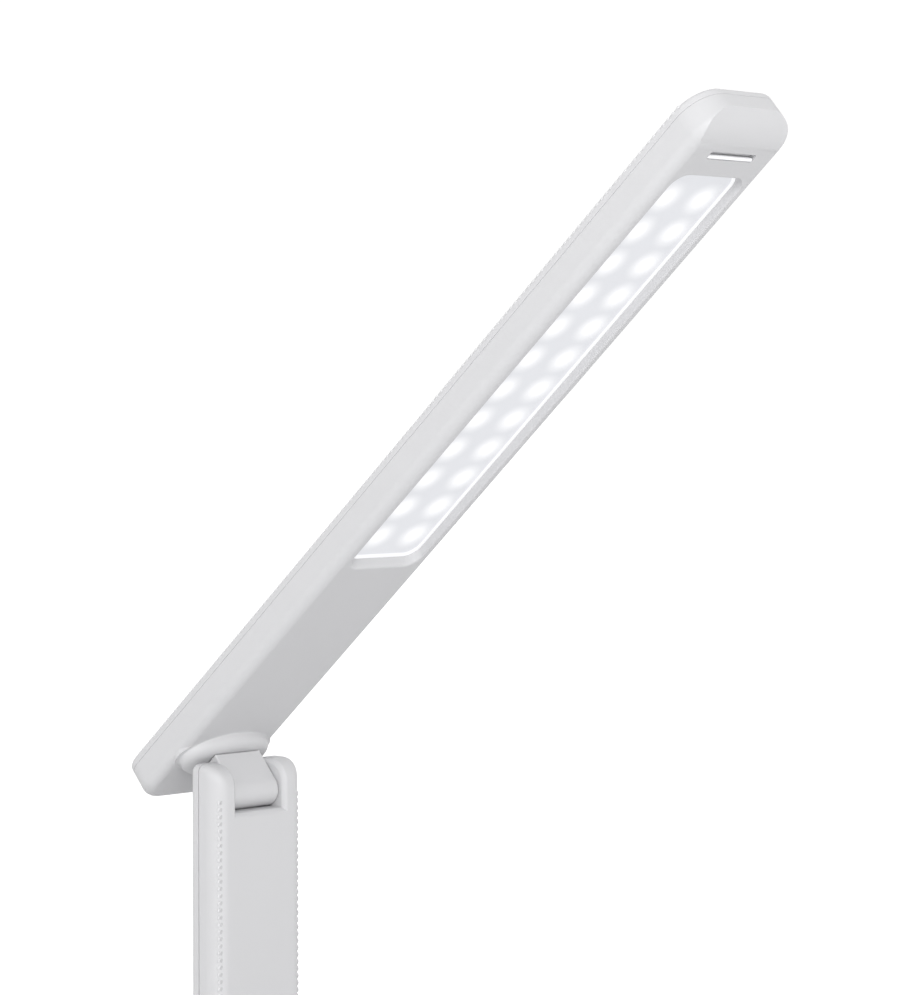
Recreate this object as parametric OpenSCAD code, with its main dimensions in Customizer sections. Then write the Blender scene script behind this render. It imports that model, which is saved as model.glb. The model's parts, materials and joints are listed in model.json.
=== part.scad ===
// Folding LED desk lamp: a head that swivels and tilts on a stem, which folds over the base.
// Units are millimetres. +X is the lamp's right, -Y its front, +Z up; the origin lies under the
// middle of the base, on the surface that the lamp stands on.

/* [Pose] */
// Angle of the head above the horizontal as the lamp stands
head_lift = 41.05; // [30:0.05:50]

/* [Head] */
// Width of the head
head_w = 40; // [39:0.5:44]
// Reach of the head behind the neck's axis
head_back = 25; // [24:0.5:30]
// Corner radius of the head in plan
head_corner_r = 8.5; // [6:0.5:12]
// Height of the housing from its underside to the parting line
housing_h = 9.8; // [9.4:0.1:12]
// Height of the top cover above the parting line
cover_h = 2.6; // [2.2:0.1:4]
// Radius of the housing's lower edge
head_edge_r = 3.5; // [1.5:0.1:4]
// Radius of the top cover's upper edge
cover_edge_r = 1.4; // [0.6:0.1:1.8]
// Wall of the housing and of its floor
head_wall = 2; // [1.6:0.1:2.4]
// Thickness of the top cover
cover_t = 1.6; // [1.2:0.1:1.8]
// Depth of the cover's locating lip in the housing
lip_h = 2; // [1:0.1:2.4]
// Thickness of the cover's locating lip
lip_t = 1.2; // [0.8:0.1:1.6]

/* [Light window] */
// Distance from the neck's axis to the near end of the window
window_start = 94.5; // [80:0.5:96]
// Length of the window
window_len = 174; // [172:0.5:178]
// Width of the window
window_w = 30.6; // [28:0.2:31]
// Distance from the window's far end to the head's tip
window_tip = 22.5; // [20:0.5:26]
// Corner radius of the window
window_r = 7; // [3:0.5:9]
// Depth of the diffuser behind the underside
window_depth = 3.1; // [2.6:0.1:3.6]
// Width of the frame that carries the diffuser's edge
window_frame_w = 2; // [1.4:0.1:2.4]
// Thickness of the diffuser
diffuser_t = 1.5; // [1:0.1:1.8]
// Overlap of the diffuser on its frame
diffuser_seat = 1.2; // [0.8:0.1:1.4]
// Number of lights in one row
led_count = 12; // [10:1:12]
// Distance between two lights of a row
led_pitch = 13.64; // [12:0.02:13.8]
// Distance between the two rows
led_rows = 13.28; // [9:0.02:16]
// Length of a light's package
led_l = 3.5; // [2.4:0.1:4]
// Width of a light's package
led_w = 2.8; // [2:0.1:3.2]
// Height of a light's package
led_h = 0.8; // [0.6:0.1:1]
// Thickness of the light board
led_board_t = 1; // [0.8:0.1:1.2]
// Width of the light board
led_board_w = 30; // [24:0.5:32]
// Gap from the diffuser to the light packages
light_gap = 2; // [1.6:0.1:2.2]
// Radius of the posts under the light board
post_r = 2.4; // [2:0.1:2.6]
// Distance of the posts from the window's ends
post_offset = 7.5; // [6.5:0.1:8]
// Distance of the posts from the head's middle line
post_x = 12.5; // [11.5:0.1:12.8]
// Length of the finger slot near the tip
slot_l = 20; // [14:0.5:22]
// Width of the finger slot
slot_w = 1.3; // [0.8:0.1:2]
// Depth of the finger slot
slot_depth = 0.9; // [0.5:0.1:1.2]
// Distance of the finger slot from the tip
slot_inset = 13.8; // [12:0.1:15]

/* [Neck] */
// Distance from the tilt axis to the head's underside
neck_h = 15.9; // [15.6:0.1:18]
// Height of the round collar under the head
collar_h = 4; // [3.6:0.1:4.2]
// Radius of the collar at its rim
collar_r = 15.3; // [13:0.1:16]
// Radius of the fillet between collar and head
collar_flare = 2.2; // [1:0.1:2.2]
// Radius of the collar's lower edge
collar_edge_r = 1.2; // [0.6:0.1:1.3]
// Width of the neck
neck_w = 19.7; // [18:0.1:20.2]
// Depth of the neck, and diameter of its barrel
neck_d = 9.7; // [9:0.1:10]
// Radius of the swivel shaft
shaft_r = 3; // [2.6:0.1:3.2]
// Radius of the bore in the shaft, neck and pins for the lead
lead_bore_r = 1.1; // [1.05:0.05:1.15]
// Depth of the shaft in the neck
shaft_seat = 6; // [5:0.1:6.4]
// Thickness of the thrust washer between neck and collar
thrust_t = 0.6; // [0.4:0.1:0.8]
// Radius of the thrust washer
thrust_r = 4.5; // [4:0.1:4.6]
// Height of the swivel nut
swivel_nut_h = 3; // [2:0.1:3.4]
// Width of the swivel nut across its corners
swivel_nut_d = 11.5; // [10:0.1:12.5]

/* [Hinge pins] */
// Radius of the tilt and fold pins
pin_r = 1.8; // [1.7:0.05:1.9]
// Thickness of a pin's head
pin_head_t = 1.2; // [0.8:0.1:1.3]
// Radius of a pin's head
pin_head_r = 3.1; // [2.6:0.1:3.2]
// Height of a pin's nut
pin_nut_h = 2.2; // [1.6:0.1:2.4]
// Width of a pin's nut across its corners
pin_nut_d = 6.4; // [5.4:0.1:6.6]
// Thickness of a friction washer
washer_t = 0.5; // [0.3:0.1:0.6]
// Radius of a friction washer
washer_r = 3.1; // [2.8:0.1:3.2]

/* [Stem] */
// Room between the fold axis and the head's tip when the head lies along the stem
fold_room = 24; // [20:0.5:40]
// Width of the stem
stem_w = 38; // [37:0.5:42]
// Distance from the hinge axes to the stem's front
stem_front = 7.6; // [7.4:0.1:8.4]
// Distance from the hinge axes to the stem's back
stem_back = 5.1; // [5:0.1:6]
// Distance from the hinge axes back to the parting line of the stem's shells
stem_part = 1.4; // [1:0.1:2]
// Height of the stem's cheeks above the tilt axis
cheek_h = 9.9; // [9:0.1:10.2]
// Radius of the cheeks' front top edge
cheek_r = 7.75; // [5:0.05:8]
// Radius of the cheeks' outer top corners
cheek_corner_r = 3.5; // [1:0.1:5]
// Radius of the stem's front corners
stem_corner_r = 6; // [4:0.1:7]
// Radius of the stem's rear corners
stem_rear_r = 1.5; // [0.6:0.1:2]
// Wall of the stem's shells
stem_wall = 1.6; // [1.4:0.1:1.6]
// Wall between the neck's pocket and the cheeks
pocket_wall = 1.4; // [1:0.1:1.5]
// Depth of the pocket below the hinge axis
pocket_depth = 5.5; // [5.3:0.1:6.4]
// Clearance beside the neck and the foot's tongue
side_gap = 0.3; // [0.2:0.05:0.5]
// Distance from the fold axis to the lower end of the stem's shells
stem_end = 8.3; // [8.2:0.1:10]
// Height of the foot's plug in the stem
plug_h = 26; // [20:0.5:36]
// Thickness of the tilt bracket's sheet
bracket_t = 1.2; // [1:0.1:1.3]
// Height of the bracket below the tilt axis
bracket_h = 30; // [26:0.5:40]

/* [Base] */
// Width of the base
base_w = 168; // [150:1:200]
// Depth of the base
base_d = 108; // [100:1:130]
// Height of the base's top above the desk
base_h = 16; // [15:0.5:20]
// Corner radius of the base
base_corner_r = 12; // [8:0.5:16]
// Radius of the base's upper edge
base_edge_r = 3; // [1:0.1:4]
// Wall of the base's covers
base_wall = 2.2; // [1.8:0.1:2.4]
// Distance from the base's rear edge to the hinge axes
axis_inset = 14; // [12:0.5:20]
// Height of the fold axis above the base
fold_h = 31; // [30.6:0.1:40]
// Height of the fork's ears above the fold axis
ear_h = 7.6; // [7:0.1:7.8]
// Thickness of the non-slip pad
pad_t = 1.4; // [1:0.1:2]
// Part of the pad that stands out below the tray
pad_stand = 1; // [0.6:0.1:1]
// Distance from the base's edge to the pad
pad_inset = 4; // [3:0.5:4.5]
// Thickness of the counterweight
weight_t = 6; // [4:0.1:7]
// Distance from the base's side to the counterweight
weight_side = 14; // [12.5:0.5:20]
// Depth of the counterweight
weight_d = 60; // [50:0.5:62]
// Thickness of the fork's flange
flange_t = 3; // [2:0.1:4]
// Length of the touch panel
panel_l = 110; // [80:1:120]
// Width of the touch panel
panel_w = 18; // [14:0.5:20]
// Thickness of the touch panel
panel_t = 1; // [0.8:0.1:1.2]
// Distance from the base's front edge to the touch panel's middle
panel_inset = 20; // [18:0.5:22]
// Distance of the power inlet from the base's side
inlet_side = 32; // [26:0.5:36]
// Radius of the inlet's socket
inlet_r = 2.85; // [2.6:0.05:3.2]
// Depth of the inlet's socket
inlet_depth = 9.5; // [8:0.1:11]

/* [Leads and clearances] */
// Diameter of the lead
lead_d = 1.8; // [1.4:0.1:1.9]
// Radial clearance of a turning pin or shaft in its bore
running_fit = 0.05; // [0.02:0.01:0.09]
// Radial clearance of a pin or screw in the piece that it is fixed to
fixed_fit = 0.02; // [0.01:0.01:0.03]
// Clearance between two covers or between a board and its seat
cover_gap = 0.15; // [0.1:0.01:0.2]

/* [Hidden] */
$fn = 48;
eps = 0.01;
far = 1000;

// Places of the hinge axes
head_front = window_start + window_len + window_tip;
stem_reach = head_front + fold_room;
axis_y = base_d/2 - axis_inset;
fold_z = base_h + fold_h;
tilt_z = fold_z + stem_reach;

// Head, measured along the neck's axis from the tilt axis
head_len = head_front + head_back;
head_mid = (head_back - head_front)/2;
rim_z = neck_h - collar_h;
part_z = neck_h + housing_h;
floor_z = neck_h + head_wall;
lens_z = neck_h + window_depth;
board_z = lens_z + diffuser_t + light_gap + led_h;
window_end = window_start + window_len;
window_mid = -(window_start + window_end)/2;
post_places = [window_start - post_offset, window_end + post_offset];
board_end = 5;
screw_r = 1;
screw_head_r = 1.9;
screw_head_t = 1;
screw_len = 4.5;
swivel_ring_t = 1;
swivel_ring_r = 6;
nut_z = floor_z + 2*swivel_ring_t;
shaft_top = nut_z + swivel_nut_h + 0.5;
block_top = rim_z - thrust_t;
shaft_bottom = block_top - shaft_seat;

// Stem, measured from the tilt axis; its lower end from the fold axis
stem_bottom = stem_end - stem_reach;
pocket_x = neck_w/2 + side_gap;
cheek_in = pocket_x + pocket_wall;
pocket_open = 0.3;
ear_x = cheek_in + 0.1;
ear_r = 3.1;
ear_out = ear_x + bracket_t;
tilt_pin_x = ear_out + washer_t;
lead_gap = 0.3;
bend_cut = 0.4;
lead_sides = 8;
lead_x = tilt_pin_x + pin_head_t + lead_gap + lead_d/2;
boss_h = 3;
web_y = -stem_front + stem_wall + boss_h;
bracket_screw_x = 7;
bracket_screw_z = [-15, -25];
bracket_screw_len = 4;
lead_back = 1;
lead_cross_z = -10;
strap_back = -0.3;

// Fold hinge in the upright fork
fork_ear = 2.8;
fork_recess = pocket_x + fork_ear;
fold_pin_x = fork_recess + washer_t;
fold_lead_x = fold_pin_x + pin_head_t + lead_gap + lead_d/2;
channel_r = lead_d/2 + 0.4;
recess_r = 4.2;
cap_t = 1.2;
foot_top = stem_end - cover_gap;
stem_screw_z = stem_end + plug_h/2;
stem_screw_x = 11;
stem_screw_r = 1.5;
stem_screw_head_r = 2.8;
stem_screw_head_t = 0.8;
stem_screw_len = 7;

// Base, from the desk upwards
tray_z = pad_stand;
tray_top = tray_z + base_wall;
cover_in = base_h - base_wall;
weight_w = base_w - 2*weight_side;
weight_top = tray_top + weight_t;
weight_mid = base_d/2 - base_wall - 2 - weight_d/2;
flange_w = 58;
flange_d = 26;
flange_back = weight_mid + weight_d/2;
flange_mid = flange_back - flange_d/2;
fork_screw_x = 6;
fork_screw_r = 2;
fork_screw_head_r = 3.6;
fork_screw_head_t = 2.4;
fork_screw_len = 14;
base_screw_x = base_w/2 - 8.5;
base_screw_y = base_d/2 - 8.5;
base_boss_r = 3.4;
base_screw_head_t = 1.2;
base_screw_len = 7;
panel_y = panel_inset - base_d/2;
control_w = 76;
control_d = 30;
control_t = 1.6;
control_y = panel_y;
control_z = tray_top + 2;
touch_board_t = 1.2;
inlet_x = base_w/2 - inlet_side;
inlet_w = 9;
inlet_h = 9.6;
inlet_d = 14;
inlet_nose_r = 4;
inlet_pin_r = 1;
inlet_z = tray_top + inlet_h/2;
inlet_back = base_d/2 - base_wall - cover_gap - 0.2;
header_h = cover_in - touch_board_t - control_z - control_t;
driver_chip = [-8, 0, 9, 9, 1.6];
coil = [10, 2, 8, 8, 4];
diode = [24, -4, 6, 5, 1.2];
header = [0, -11, 16, 2.6, header_h];
capacitor_x = [-26, -19];
capacitor_y = -6;
capacitor_r = 2.6;
capacitor_h = 4.6;
socket_x = [-20, 24];
socket_y = 11;
socket_w = 8;
socket_d = 6;
socket_h = 4;
socket_face_y = control_y + socket_y + socket_d/2 + 0.1;
socket_mid_z = control_z + control_t + socket_h/2;
lead_run_z = weight_top + lead_d/2 + 0.3;
lead_turn_y = -12;
lead_corner_y = 4;
inlet_face_y = inlet_back - inlet_d - 0.1;

// Frames of the moving pieces
module at_fold() translate([0, axis_y, fold_z]) children();
module at_tilt() translate([0, axis_y, tilt_z]) children();
module at_neck() at_tilt() rotate([-head_lift, 0, 0]) children();

// Flat outline with round corners, its arcs exact
module round_box(w, d, r) {
    square([w - 2*r, d], center = true);
    square([w, d - 2*r], center = true);
    for (x = [-1, 1], y = [-1, 1]) translate([x*(w/2 - r), y*(d/2 - r)]) circle(r);
}

// Points of an arc about [cx, cy], from angle a0 to a1
function arc(cx, cy, r, a0, a1, steps = 6) =
    [for (i = [0:steps]) let (a = a0 + (a1 - a0)*i/steps) [cx + r*cos(a), cy + r*sin(a)]];

// Block with round corners in plan and a round lower or upper edge
module soft_box(w, d, h, r, low = 0.01, high = 0.01)
    hull() for (x = [-1, 1], y = [-1, 1]) translate([x*(w/2 - r), y*(d/2 - r), 0])
        rotate_extrude($fn = 32) polygon(concat([[0, 0]], arc(r - low, low, low, -90, 0),
            arc(r - high, h - high, high, 0, 90), [[0, h]]));

// Cylinder along X, from x0 to x1
module rod_x(x0, x1, r) translate([x0, 0, 0]) rotate([0, 90, 0]) cylinder(h = x1 - x0, r = r);

// Ring along Z
module ring(r, bore, h) difference() {
    cylinder(h = h, r = r);
    translate([0, 0, -1]) cylinder(h = h + 2, r = bore);
}

// Hexagonal nut along Z
module nut(d, bore, h) difference() {
    cylinder(h = h, r = d/2, $fn = 6);
    translate([0, 0, -1]) cylinder(h = h + 2, r = bore);
}

// Screw along -Z, its head's seat at the origin
module screw(r, head_r, head_t, length) {
    translate([0, 0, -length]) cylinder(h = length + eps, r = r);
    difference() {
        cylinder(h = head_t, r = head_r);
        translate([-head_r/2, -0.25, head_t*0.5]) cube([head_r, 0.5, head_t]);
        translate([-0.25, -head_r/2, head_t*0.5]) cube([0.5, head_r, head_t]);
    }
}

// Direction of the route at point i, averaged where it bends
function unit(v) = v/norm(v);
function heading(p, i) = unit((i > 0 ? unit(p[i] - p[i - 1]) : [0, 0, 0])
    + (i < len(p) - 1 ? unit(p[i + 1] - p[i]) : [0, 0, 0]));

// Sideways direction at each point, turned no more than the route turns
function sideways(p, last, i = 0) = i == len(p) ? [] :
    let (h = heading(p, i), n = unit(last - (last*h)*h)) concat([n], sideways(p, n, i + 1));

// Route with each inner corner cut off at bend_cut
function eased(p) = concat([p[0]], [for (i = [1:1:len(p) - 2])
    each [p[i] + unit(p[i - 1] - p[i])*bend_cut, p[i] + unit(p[i + 1] - p[i])*bend_cut]], [p[len(p) - 1]]);

// Lead along a route of corner points
module lead(corners) {
    p = eased(corners);
    n = sideways(p, [0.3, 0.5, 0.8]);
    rings = [for (i = [0:len(p) - 1], k = [0:lead_sides - 1]) let (a = 360*k/lead_sides)
        p[i] + (n[i]*cos(a) + cross(heading(p, i), n[i])*sin(a))*lead_d/2];
    sides = [for (i = [0:len(p) - 2], k = [0:lead_sides - 1]) let (m = (k + 1) % lead_sides)
        [i*lead_sides + k, (i + 1)*lead_sides + k, (i + 1)*lead_sides + m, i*lead_sides + m]];
    first = [for (k = [0:lead_sides - 1]) k];
    last = [for (k = [lead_sides - 1:-1:0]) (len(p) - 1)*lead_sides + k];
    polyhedron(rings, concat([first], sides, [last]));
}

// ---- Head ----

module head_plan(inset) translate([0, head_mid])
    round_box(head_w - 2*inset, head_len - 2*inset, head_corner_r - inset);

module window_plan(grow, length = 0) translate([0, window_mid])
    round_box(window_w + 2*grow, window_len + 2*grow + length, window_r + grow);

module head_posts() for (u = post_places, x = [-1, 1]) translate([x*post_x, -u, 0]) children();

module collar() rotate_extrude() polygon(concat([[0, rim_z]],
    arc(collar_r - collar_edge_r, rim_z + collar_edge_r, collar_edge_r, -90, 0),
    arc(collar_r + collar_flare, neck_h - collar_flare, collar_flare, 180, 90),
    [[collar_r + collar_flare, neck_h + 1], [0, neck_h + 1]]));

module head_housing() color("whitesmoke") at_neck() difference() {
    union() {
        difference() {
            translate([0, head_mid, neck_h])
                soft_box(head_w, head_len, housing_h, head_corner_r, low = head_edge_r);
            translate([0, 0, floor_z]) linear_extrude(housing_h) head_plan(head_wall);
        }
        collar();
        translate([0, 0, neck_h + 1]) linear_extrude(window_depth - 1) window_plan(window_frame_w);
        translate([0, 0, floor_z - eps]) head_posts() cylinder(h = board_z - floor_z + eps, r = post_r);
    }
    translate([0, 0, neck_h - 1]) linear_extrude(housing_h) window_plan(0);
    translate([0, 0, rim_z - 1]) cylinder(h = housing_h, r = shaft_r + running_fit);
    translate([0, 0, board_z - screw_len]) head_posts() cylinder(h = far, r = screw_r + fixed_fit);
    translate([0, slot_inset - head_front, neck_h - 1]) linear_extrude(1 + slot_depth)
        round_box(slot_l, slot_w, slot_w/2 - eps);
}

module head_top_cover() color("white") at_neck() difference() {
    union() {
        translate([0, head_mid, part_z])
            soft_box(head_w, head_len, cover_h, head_corner_r, high = cover_edge_r);
        translate([0, 0, part_z - lip_h]) linear_extrude(lip_h + 1) head_plan(head_wall + cover_gap);
    }
    translate([0, 0, part_z - lip_h - 1]) linear_extrude(lip_h + 1 + cover_h - cover_t)
        head_plan(head_wall + cover_gap + lip_t);
}

module diffuser() color("white") at_neck() translate([0, 0, lens_z]) linear_extrude(diffuser_t)
    window_plan(diffuser_seat);

module led_board() color("gainsboro") at_neck() difference() {
    translate([0, window_mid, board_z]) linear_extrude(led_board_t)
        round_box(led_board_w, window_len + 2*(post_offset + board_end), 2);
    translate([0, 0, board_z - 1]) head_posts() cylinder(h = 4, r = screw_r + cover_gap);
}

module leds() color("khaki") at_neck()
    for (i = [0:led_count - 1], x = [-1, 1])
        translate([x*led_rows/2, window_mid + (i - (led_count - 1)/2)*led_pitch, board_z - led_h/2])
            cube([led_w, led_l, led_h], center = true);

module led_board_screws() color("silver") at_neck() translate([0, 0, board_z + led_board_t])
    head_posts() screw(screw_r, screw_head_r, screw_head_t, screw_len);

module head_lead() color("white") at_neck() lead([[0, 0, shaft_top + 1.3], [0, -8, shaft_top + 1.3],
    [0, 8 - post_places[0], board_z + led_board_t + lead_d/2 + 0.05],
    [0, -post_places[0], board_z + led_board_t + lead_d/2 + 0.05]]);

module swivel_washer() color("silver") at_neck() translate([0, 0, floor_z])
    ring(swivel_ring_r, shaft_r + running_fit, swivel_ring_t);

module swivel_spring_washer() color("dimgray") at_neck() translate([0, 0, floor_z + swivel_ring_t])
    ring(swivel_ring_r - 1, shaft_r + running_fit, swivel_ring_t);

module swivel_nut() color("goldenrod") at_neck() translate([0, 0, nut_z])
    nut(swivel_nut_d, shaft_r + fixed_fit, swivel_nut_h);

// ---- Neck ----

module neck() color("whitesmoke") at_neck() difference() {
    union() {
        rod_x(-neck_w/2, neck_w/2, neck_d/2);
        translate([-neck_w/2, -neck_d/2, 0]) cube([neck_w, neck_d, block_top]);
    }
    rod_x(-neck_w, neck_w, pin_r + fixed_fit);
    translate([0, 0, shaft_bottom]) cylinder(h = far, r = shaft_r + fixed_fit);
    cylinder(h = far, r = lead_bore_r);
}

module swivel_shaft() color("silver") at_neck() translate([0, 0, shaft_bottom])
    ring(shaft_r, lead_bore_r, shaft_top - shaft_bottom);

module thrust_washer() color("dimgray") at_neck() translate([0, 0, block_top])
    ring(thrust_r, shaft_r + running_fit, thrust_t);

// Hollow pin along X with a head on its left and a side window for the lead
module hollow_pin(x0, x1) difference() {
    union() {
        rod_x(x0, x1, pin_r);
        rod_x(x0 - pin_head_t, x0, pin_head_r);
    }
    rod_x(x0 - far, x1 + 1, lead_bore_r);
    cylinder(h = pin_r + 1, r = lead_bore_r);
}

module tilt_pin() color("silver") at_neck() hollow_pin(-tilt_pin_x, tilt_pin_x + pin_nut_h + 0.2);

module tilt_nut() color("goldenrod") at_neck() translate([tilt_pin_x, 0, 0]) rotate([0, 90, 0])
    nut(pin_nut_d, pin_r + fixed_fit, pin_nut_h);

module neck_lead() color("white") at_neck()
    lead([[-tilt_pin_x, 0, 0], [0, 0, 0], [0, 0, shaft_top]]);

// ---- Stem ----

// Strip of width 2*w that starts at y = 0 with corners of radius r
module round_end(w, r) {
    translate([-w, r]) square([2*w, far]);
    translate([r - w, 0]) square([2*(w - r), r + eps]);
    for (x = [-1, 1]) translate([x*(w - r), r]) circle(r);
}

// Section of the stem, drawn in from its outline by inset
module column_plan(inset) intersection() {
    translate([0, inset - stem_front]) round_end(stem_w/2 - inset, stem_corner_r - inset);
    translate([0, stem_back - inset]) mirror([0, 1])
        round_end(stem_w/2 - inset, max(stem_rear_r - inset, eps));
}

// Stem or fork about its hinge axis: the section, with a round top of radius top_r at the front
// and round outer corners
module column(bottom, top, top_r, inset = 0) intersection() {
    translate([0, 0, bottom]) linear_extrude(top - bottom) column_plan(inset);
    rotate([90, 0, 90]) translate([0, 0, -far/2]) linear_extrude(far) {
        translate([-stem_front, -far]) square([far, far + top - top_r]);
        translate([inset + top_r - stem_front, 0]) square([far, top]);
        translate([inset + top_r - stem_front, top - top_r]) circle(top_r);
    }
    translate([0, far/2, top]) rotate([90, 0, 0]) linear_extrude(far) mirror([0, 1])
        round_end(stem_w/2 - inset, cheek_corner_r - inset);
}

// Slot between the two cheeks, in which the neck or the foot's tongue turns
module pocket() translate([-pocket_x, -far/2, -pocket_depth]) cube([2*pocket_x, far, far]);

module stem_hollow() difference() {
    union() {
        difference() {
            column(stem_bottom, cheek_h, cheek_r);
            column(stem_bottom - 1, cheek_h - stem_wall, cheek_r - stem_wall, stem_wall);
        }
        intersection() {
            column(stem_bottom, cheek_h, cheek_r);
            translate([-cheek_in, -far/2, -pocket_depth - pocket_wall]) cube([2*cheek_in, far, far]);
        }
    }
    pocket();
    rod_x(-cheek_in - eps, cheek_in + eps, pin_r + pocket_open);
}

module bracket_bosses() for (x = [-1, 1], z = bracket_screw_z)
    translate([x*bracket_screw_x, 0, z]) rotate([-90, 0, 0]) children();

module stem_front_shell() color("whitesmoke") at_tilt() difference() {
    union() {
        intersection() {
            stem_hollow();
            translate([-far/2, stem_part - far, -far/2]) cube(far);
        }
        bracket_bosses() translate([0, 0, stem_wall - stem_front - eps]) cylinder(h = boss_h + eps, r = 2.6);
    }
    bracket_bosses() translate([0, 0, web_y + bracket_t - bracket_screw_len - 0.2])
        cylinder(h = far, r = screw_r + fixed_fit);
}

module foot_screws() for (x = [-1, 1])
    translate([x*stem_screw_x, stem_back - stem_screw_head_t, stem_screw_z - stem_reach])
        rotate([-90, 0, 0]) children();

module stem_rear_cover() color("white") at_tilt() difference() {
    intersection() {
        stem_hollow();
        translate([-far/2, stem_part, -far/2]) cube(far);
    }
    foot_screws() {
        cylinder(h = far, r = stem_screw_head_r + cover_gap);
        translate([0, 0, -far/2]) cylinder(h = far, r = stem_screw_r + cover_gap);
    }
}

module tilt_bracket() color("silver") at_tilt() difference() {
    union() {
        translate([-ear_out, web_y, -bracket_h])
            cube([2*ear_out, bracket_t, bracket_h - pocket_depth - pocket_wall - 1]);
        for (x = [-ear_out, ear_x]) {
            rod_x(x, x + bracket_t, ear_r);
            translate([x, web_y, -bracket_h]) cube([bracket_t, strap_back - web_y, bracket_h]);
        }
    }
    rod_x(-far, far, pin_r + running_fit);
    bracket_bosses() translate([0, 0, web_y - 1]) cylinder(h = 4, r = screw_r + cover_gap);
}

module bracket_screws() color("gray") at_tilt() bracket_bosses()
    translate([0, 0, web_y + bracket_t]) screw(screw_r, screw_head_r, screw_head_t, bracket_screw_len);

module tilt_washers() color("dimgray") at_tilt()
    for (x = [-tilt_pin_x, ear_out]) translate([x, 0, 0]) rotate([0, 90, 0])
        ring(washer_r, pin_r + running_fit, washer_t);

module stem_lead() color("white") at_tilt() lead([[-fold_pin_x, 0, -stem_reach], [0, 0, -stem_reach],
    [0, 0, stem_end + plug_h + 6 - stem_reach], [0, lead_back, stem_end + plug_h + 16 - stem_reach],
    [0, lead_back, lead_cross_z], [-lead_x, lead_back, lead_cross_z], [-lead_x, 0, -2], [-lead_x, 0, 0]]);

module stem_foot() color("silver") at_fold() difference() {
    union() {
        rod_x(-neck_w/2, neck_w/2, neck_d/2);
        translate([-neck_w/2, -neck_d/2, 0]) cube([neck_w, neck_d, foot_top + eps]);
        intersection() {
            column(foot_top, far, cheek_r, stem_wall + cover_gap);
            translate([-far/2, -far/2, 0]) cube([far, far, stem_end + plug_h]);
        }
    }
    rod_x(-far, far, pin_r + fixed_fit);
    cylinder(h = far, r = lead_bore_r);
    translate([0, 0, stem_reach]) foot_screws()
        translate([0, 0, -stem_screw_len - 0.5]) cylinder(h = far, r = stem_screw_r + fixed_fit);
}

module stem_screws() color("gray") at_tilt() foot_screws()
    screw(stem_screw_r, stem_screw_head_r, stem_screw_head_t, stem_screw_len);

module fold_pin() color("silver") at_fold() hollow_pin(-fold_pin_x, fold_pin_x + pin_nut_h + 0.2);

module fold_nut() color("goldenrod") at_fold() translate([fold_pin_x, 0, 0]) rotate([0, 90, 0])
    nut(pin_nut_d, pin_r + fixed_fit, pin_nut_h);

// ---- Upright fork ----

module base_plan(inset) round_box(base_w - 2*inset, base_d - 2*inset, base_corner_r - inset);

module fork_bolts() for (x = [-1, 1])
    translate([x*fork_screw_x, axis_y, tray_top + fork_screw_head_t]) mirror([0, 0, 1]) children();

module upright_fork() color("whitesmoke") difference() {
    union() {
        at_fold() column(weight_top - fold_z, ear_h, min(stem_front, ear_h));
        translate([0, flange_mid, weight_top]) linear_extrude(flange_t) round_box(flange_w, flange_d, 3);
    }
    at_fold() {
        pocket();
        rod_x(-fork_recess - 1, fork_recess + 1, pin_r + running_fit);
        rod_x(-far, -fork_recess, recess_r);
        rod_x(fork_recess, far, recess_r);
        translate([-fold_lead_x, 0, -far]) cylinder(h = far, r = channel_r);
    }
    translate([-fold_lead_x - channel_r, 0, weight_top - 1]) cube([2*channel_r, axis_y, flange_t + 1]);
    fork_bolts() translate([0, 0, -fork_screw_len - 1])
        cylinder(h = far, r = fork_screw_r + fixed_fit);
}

module fork_screws() color("gray") fork_bolts()
    screw(fork_screw_r, fork_screw_head_r, fork_screw_head_t - 0.2, fork_screw_len);

module fork_caps() color("silver") at_fold() {
    rod_x(-stem_w/2, cap_t - stem_w/2, recess_r - running_fit);
    rod_x(stem_w/2 - cap_t, stem_w/2, recess_r - running_fit);
}

module fold_washers() color("dimgray") at_fold()
    for (x = [-fold_pin_x, fork_recess]) translate([x, 0, 0]) rotate([0, 90, 0])
        ring(washer_r, pin_r + running_fit, washer_t);

// ---- Base ----

module base_corners() for (x = [-1, 1], y = [-1, 1])
    translate([x*base_screw_x, y*base_screw_y, 0]) children();

module touch_recess(gap) translate([0, panel_y]) round_box(panel_l + 2*gap, panel_w + 2*gap, 3);

module inlet_hole(r) translate([inlet_x, 0, inlet_z]) rotate([-90, 0, 0]) cylinder(h = far, r = r);

module base_top_cover() color("whitesmoke") difference() {
    union() {
        difference() {
            translate([0, 0, tray_top])
                soft_box(base_w, base_d, base_h - tray_top, base_corner_r, high = base_edge_r);
            translate([0, 0, tray_z]) linear_extrude(cover_in - tray_z) base_plan(base_wall);
        }
        translate([0, 0, tray_top]) base_corners()
            cylinder(h = cover_in - tray_top + eps, r = base_boss_r);
    }
    base_corners() cylinder(h = tray_top + base_screw_len, r = stem_screw_r + fixed_fit);
    translate([0, 0, base_h - panel_t]) linear_extrude(far) touch_recess(cover_gap);
    translate([0, axis_y, cover_in - 1]) linear_extrude(far) column_plan(-cover_gap);
    inlet_hole(inlet_nose_r + cover_gap);
}

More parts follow.
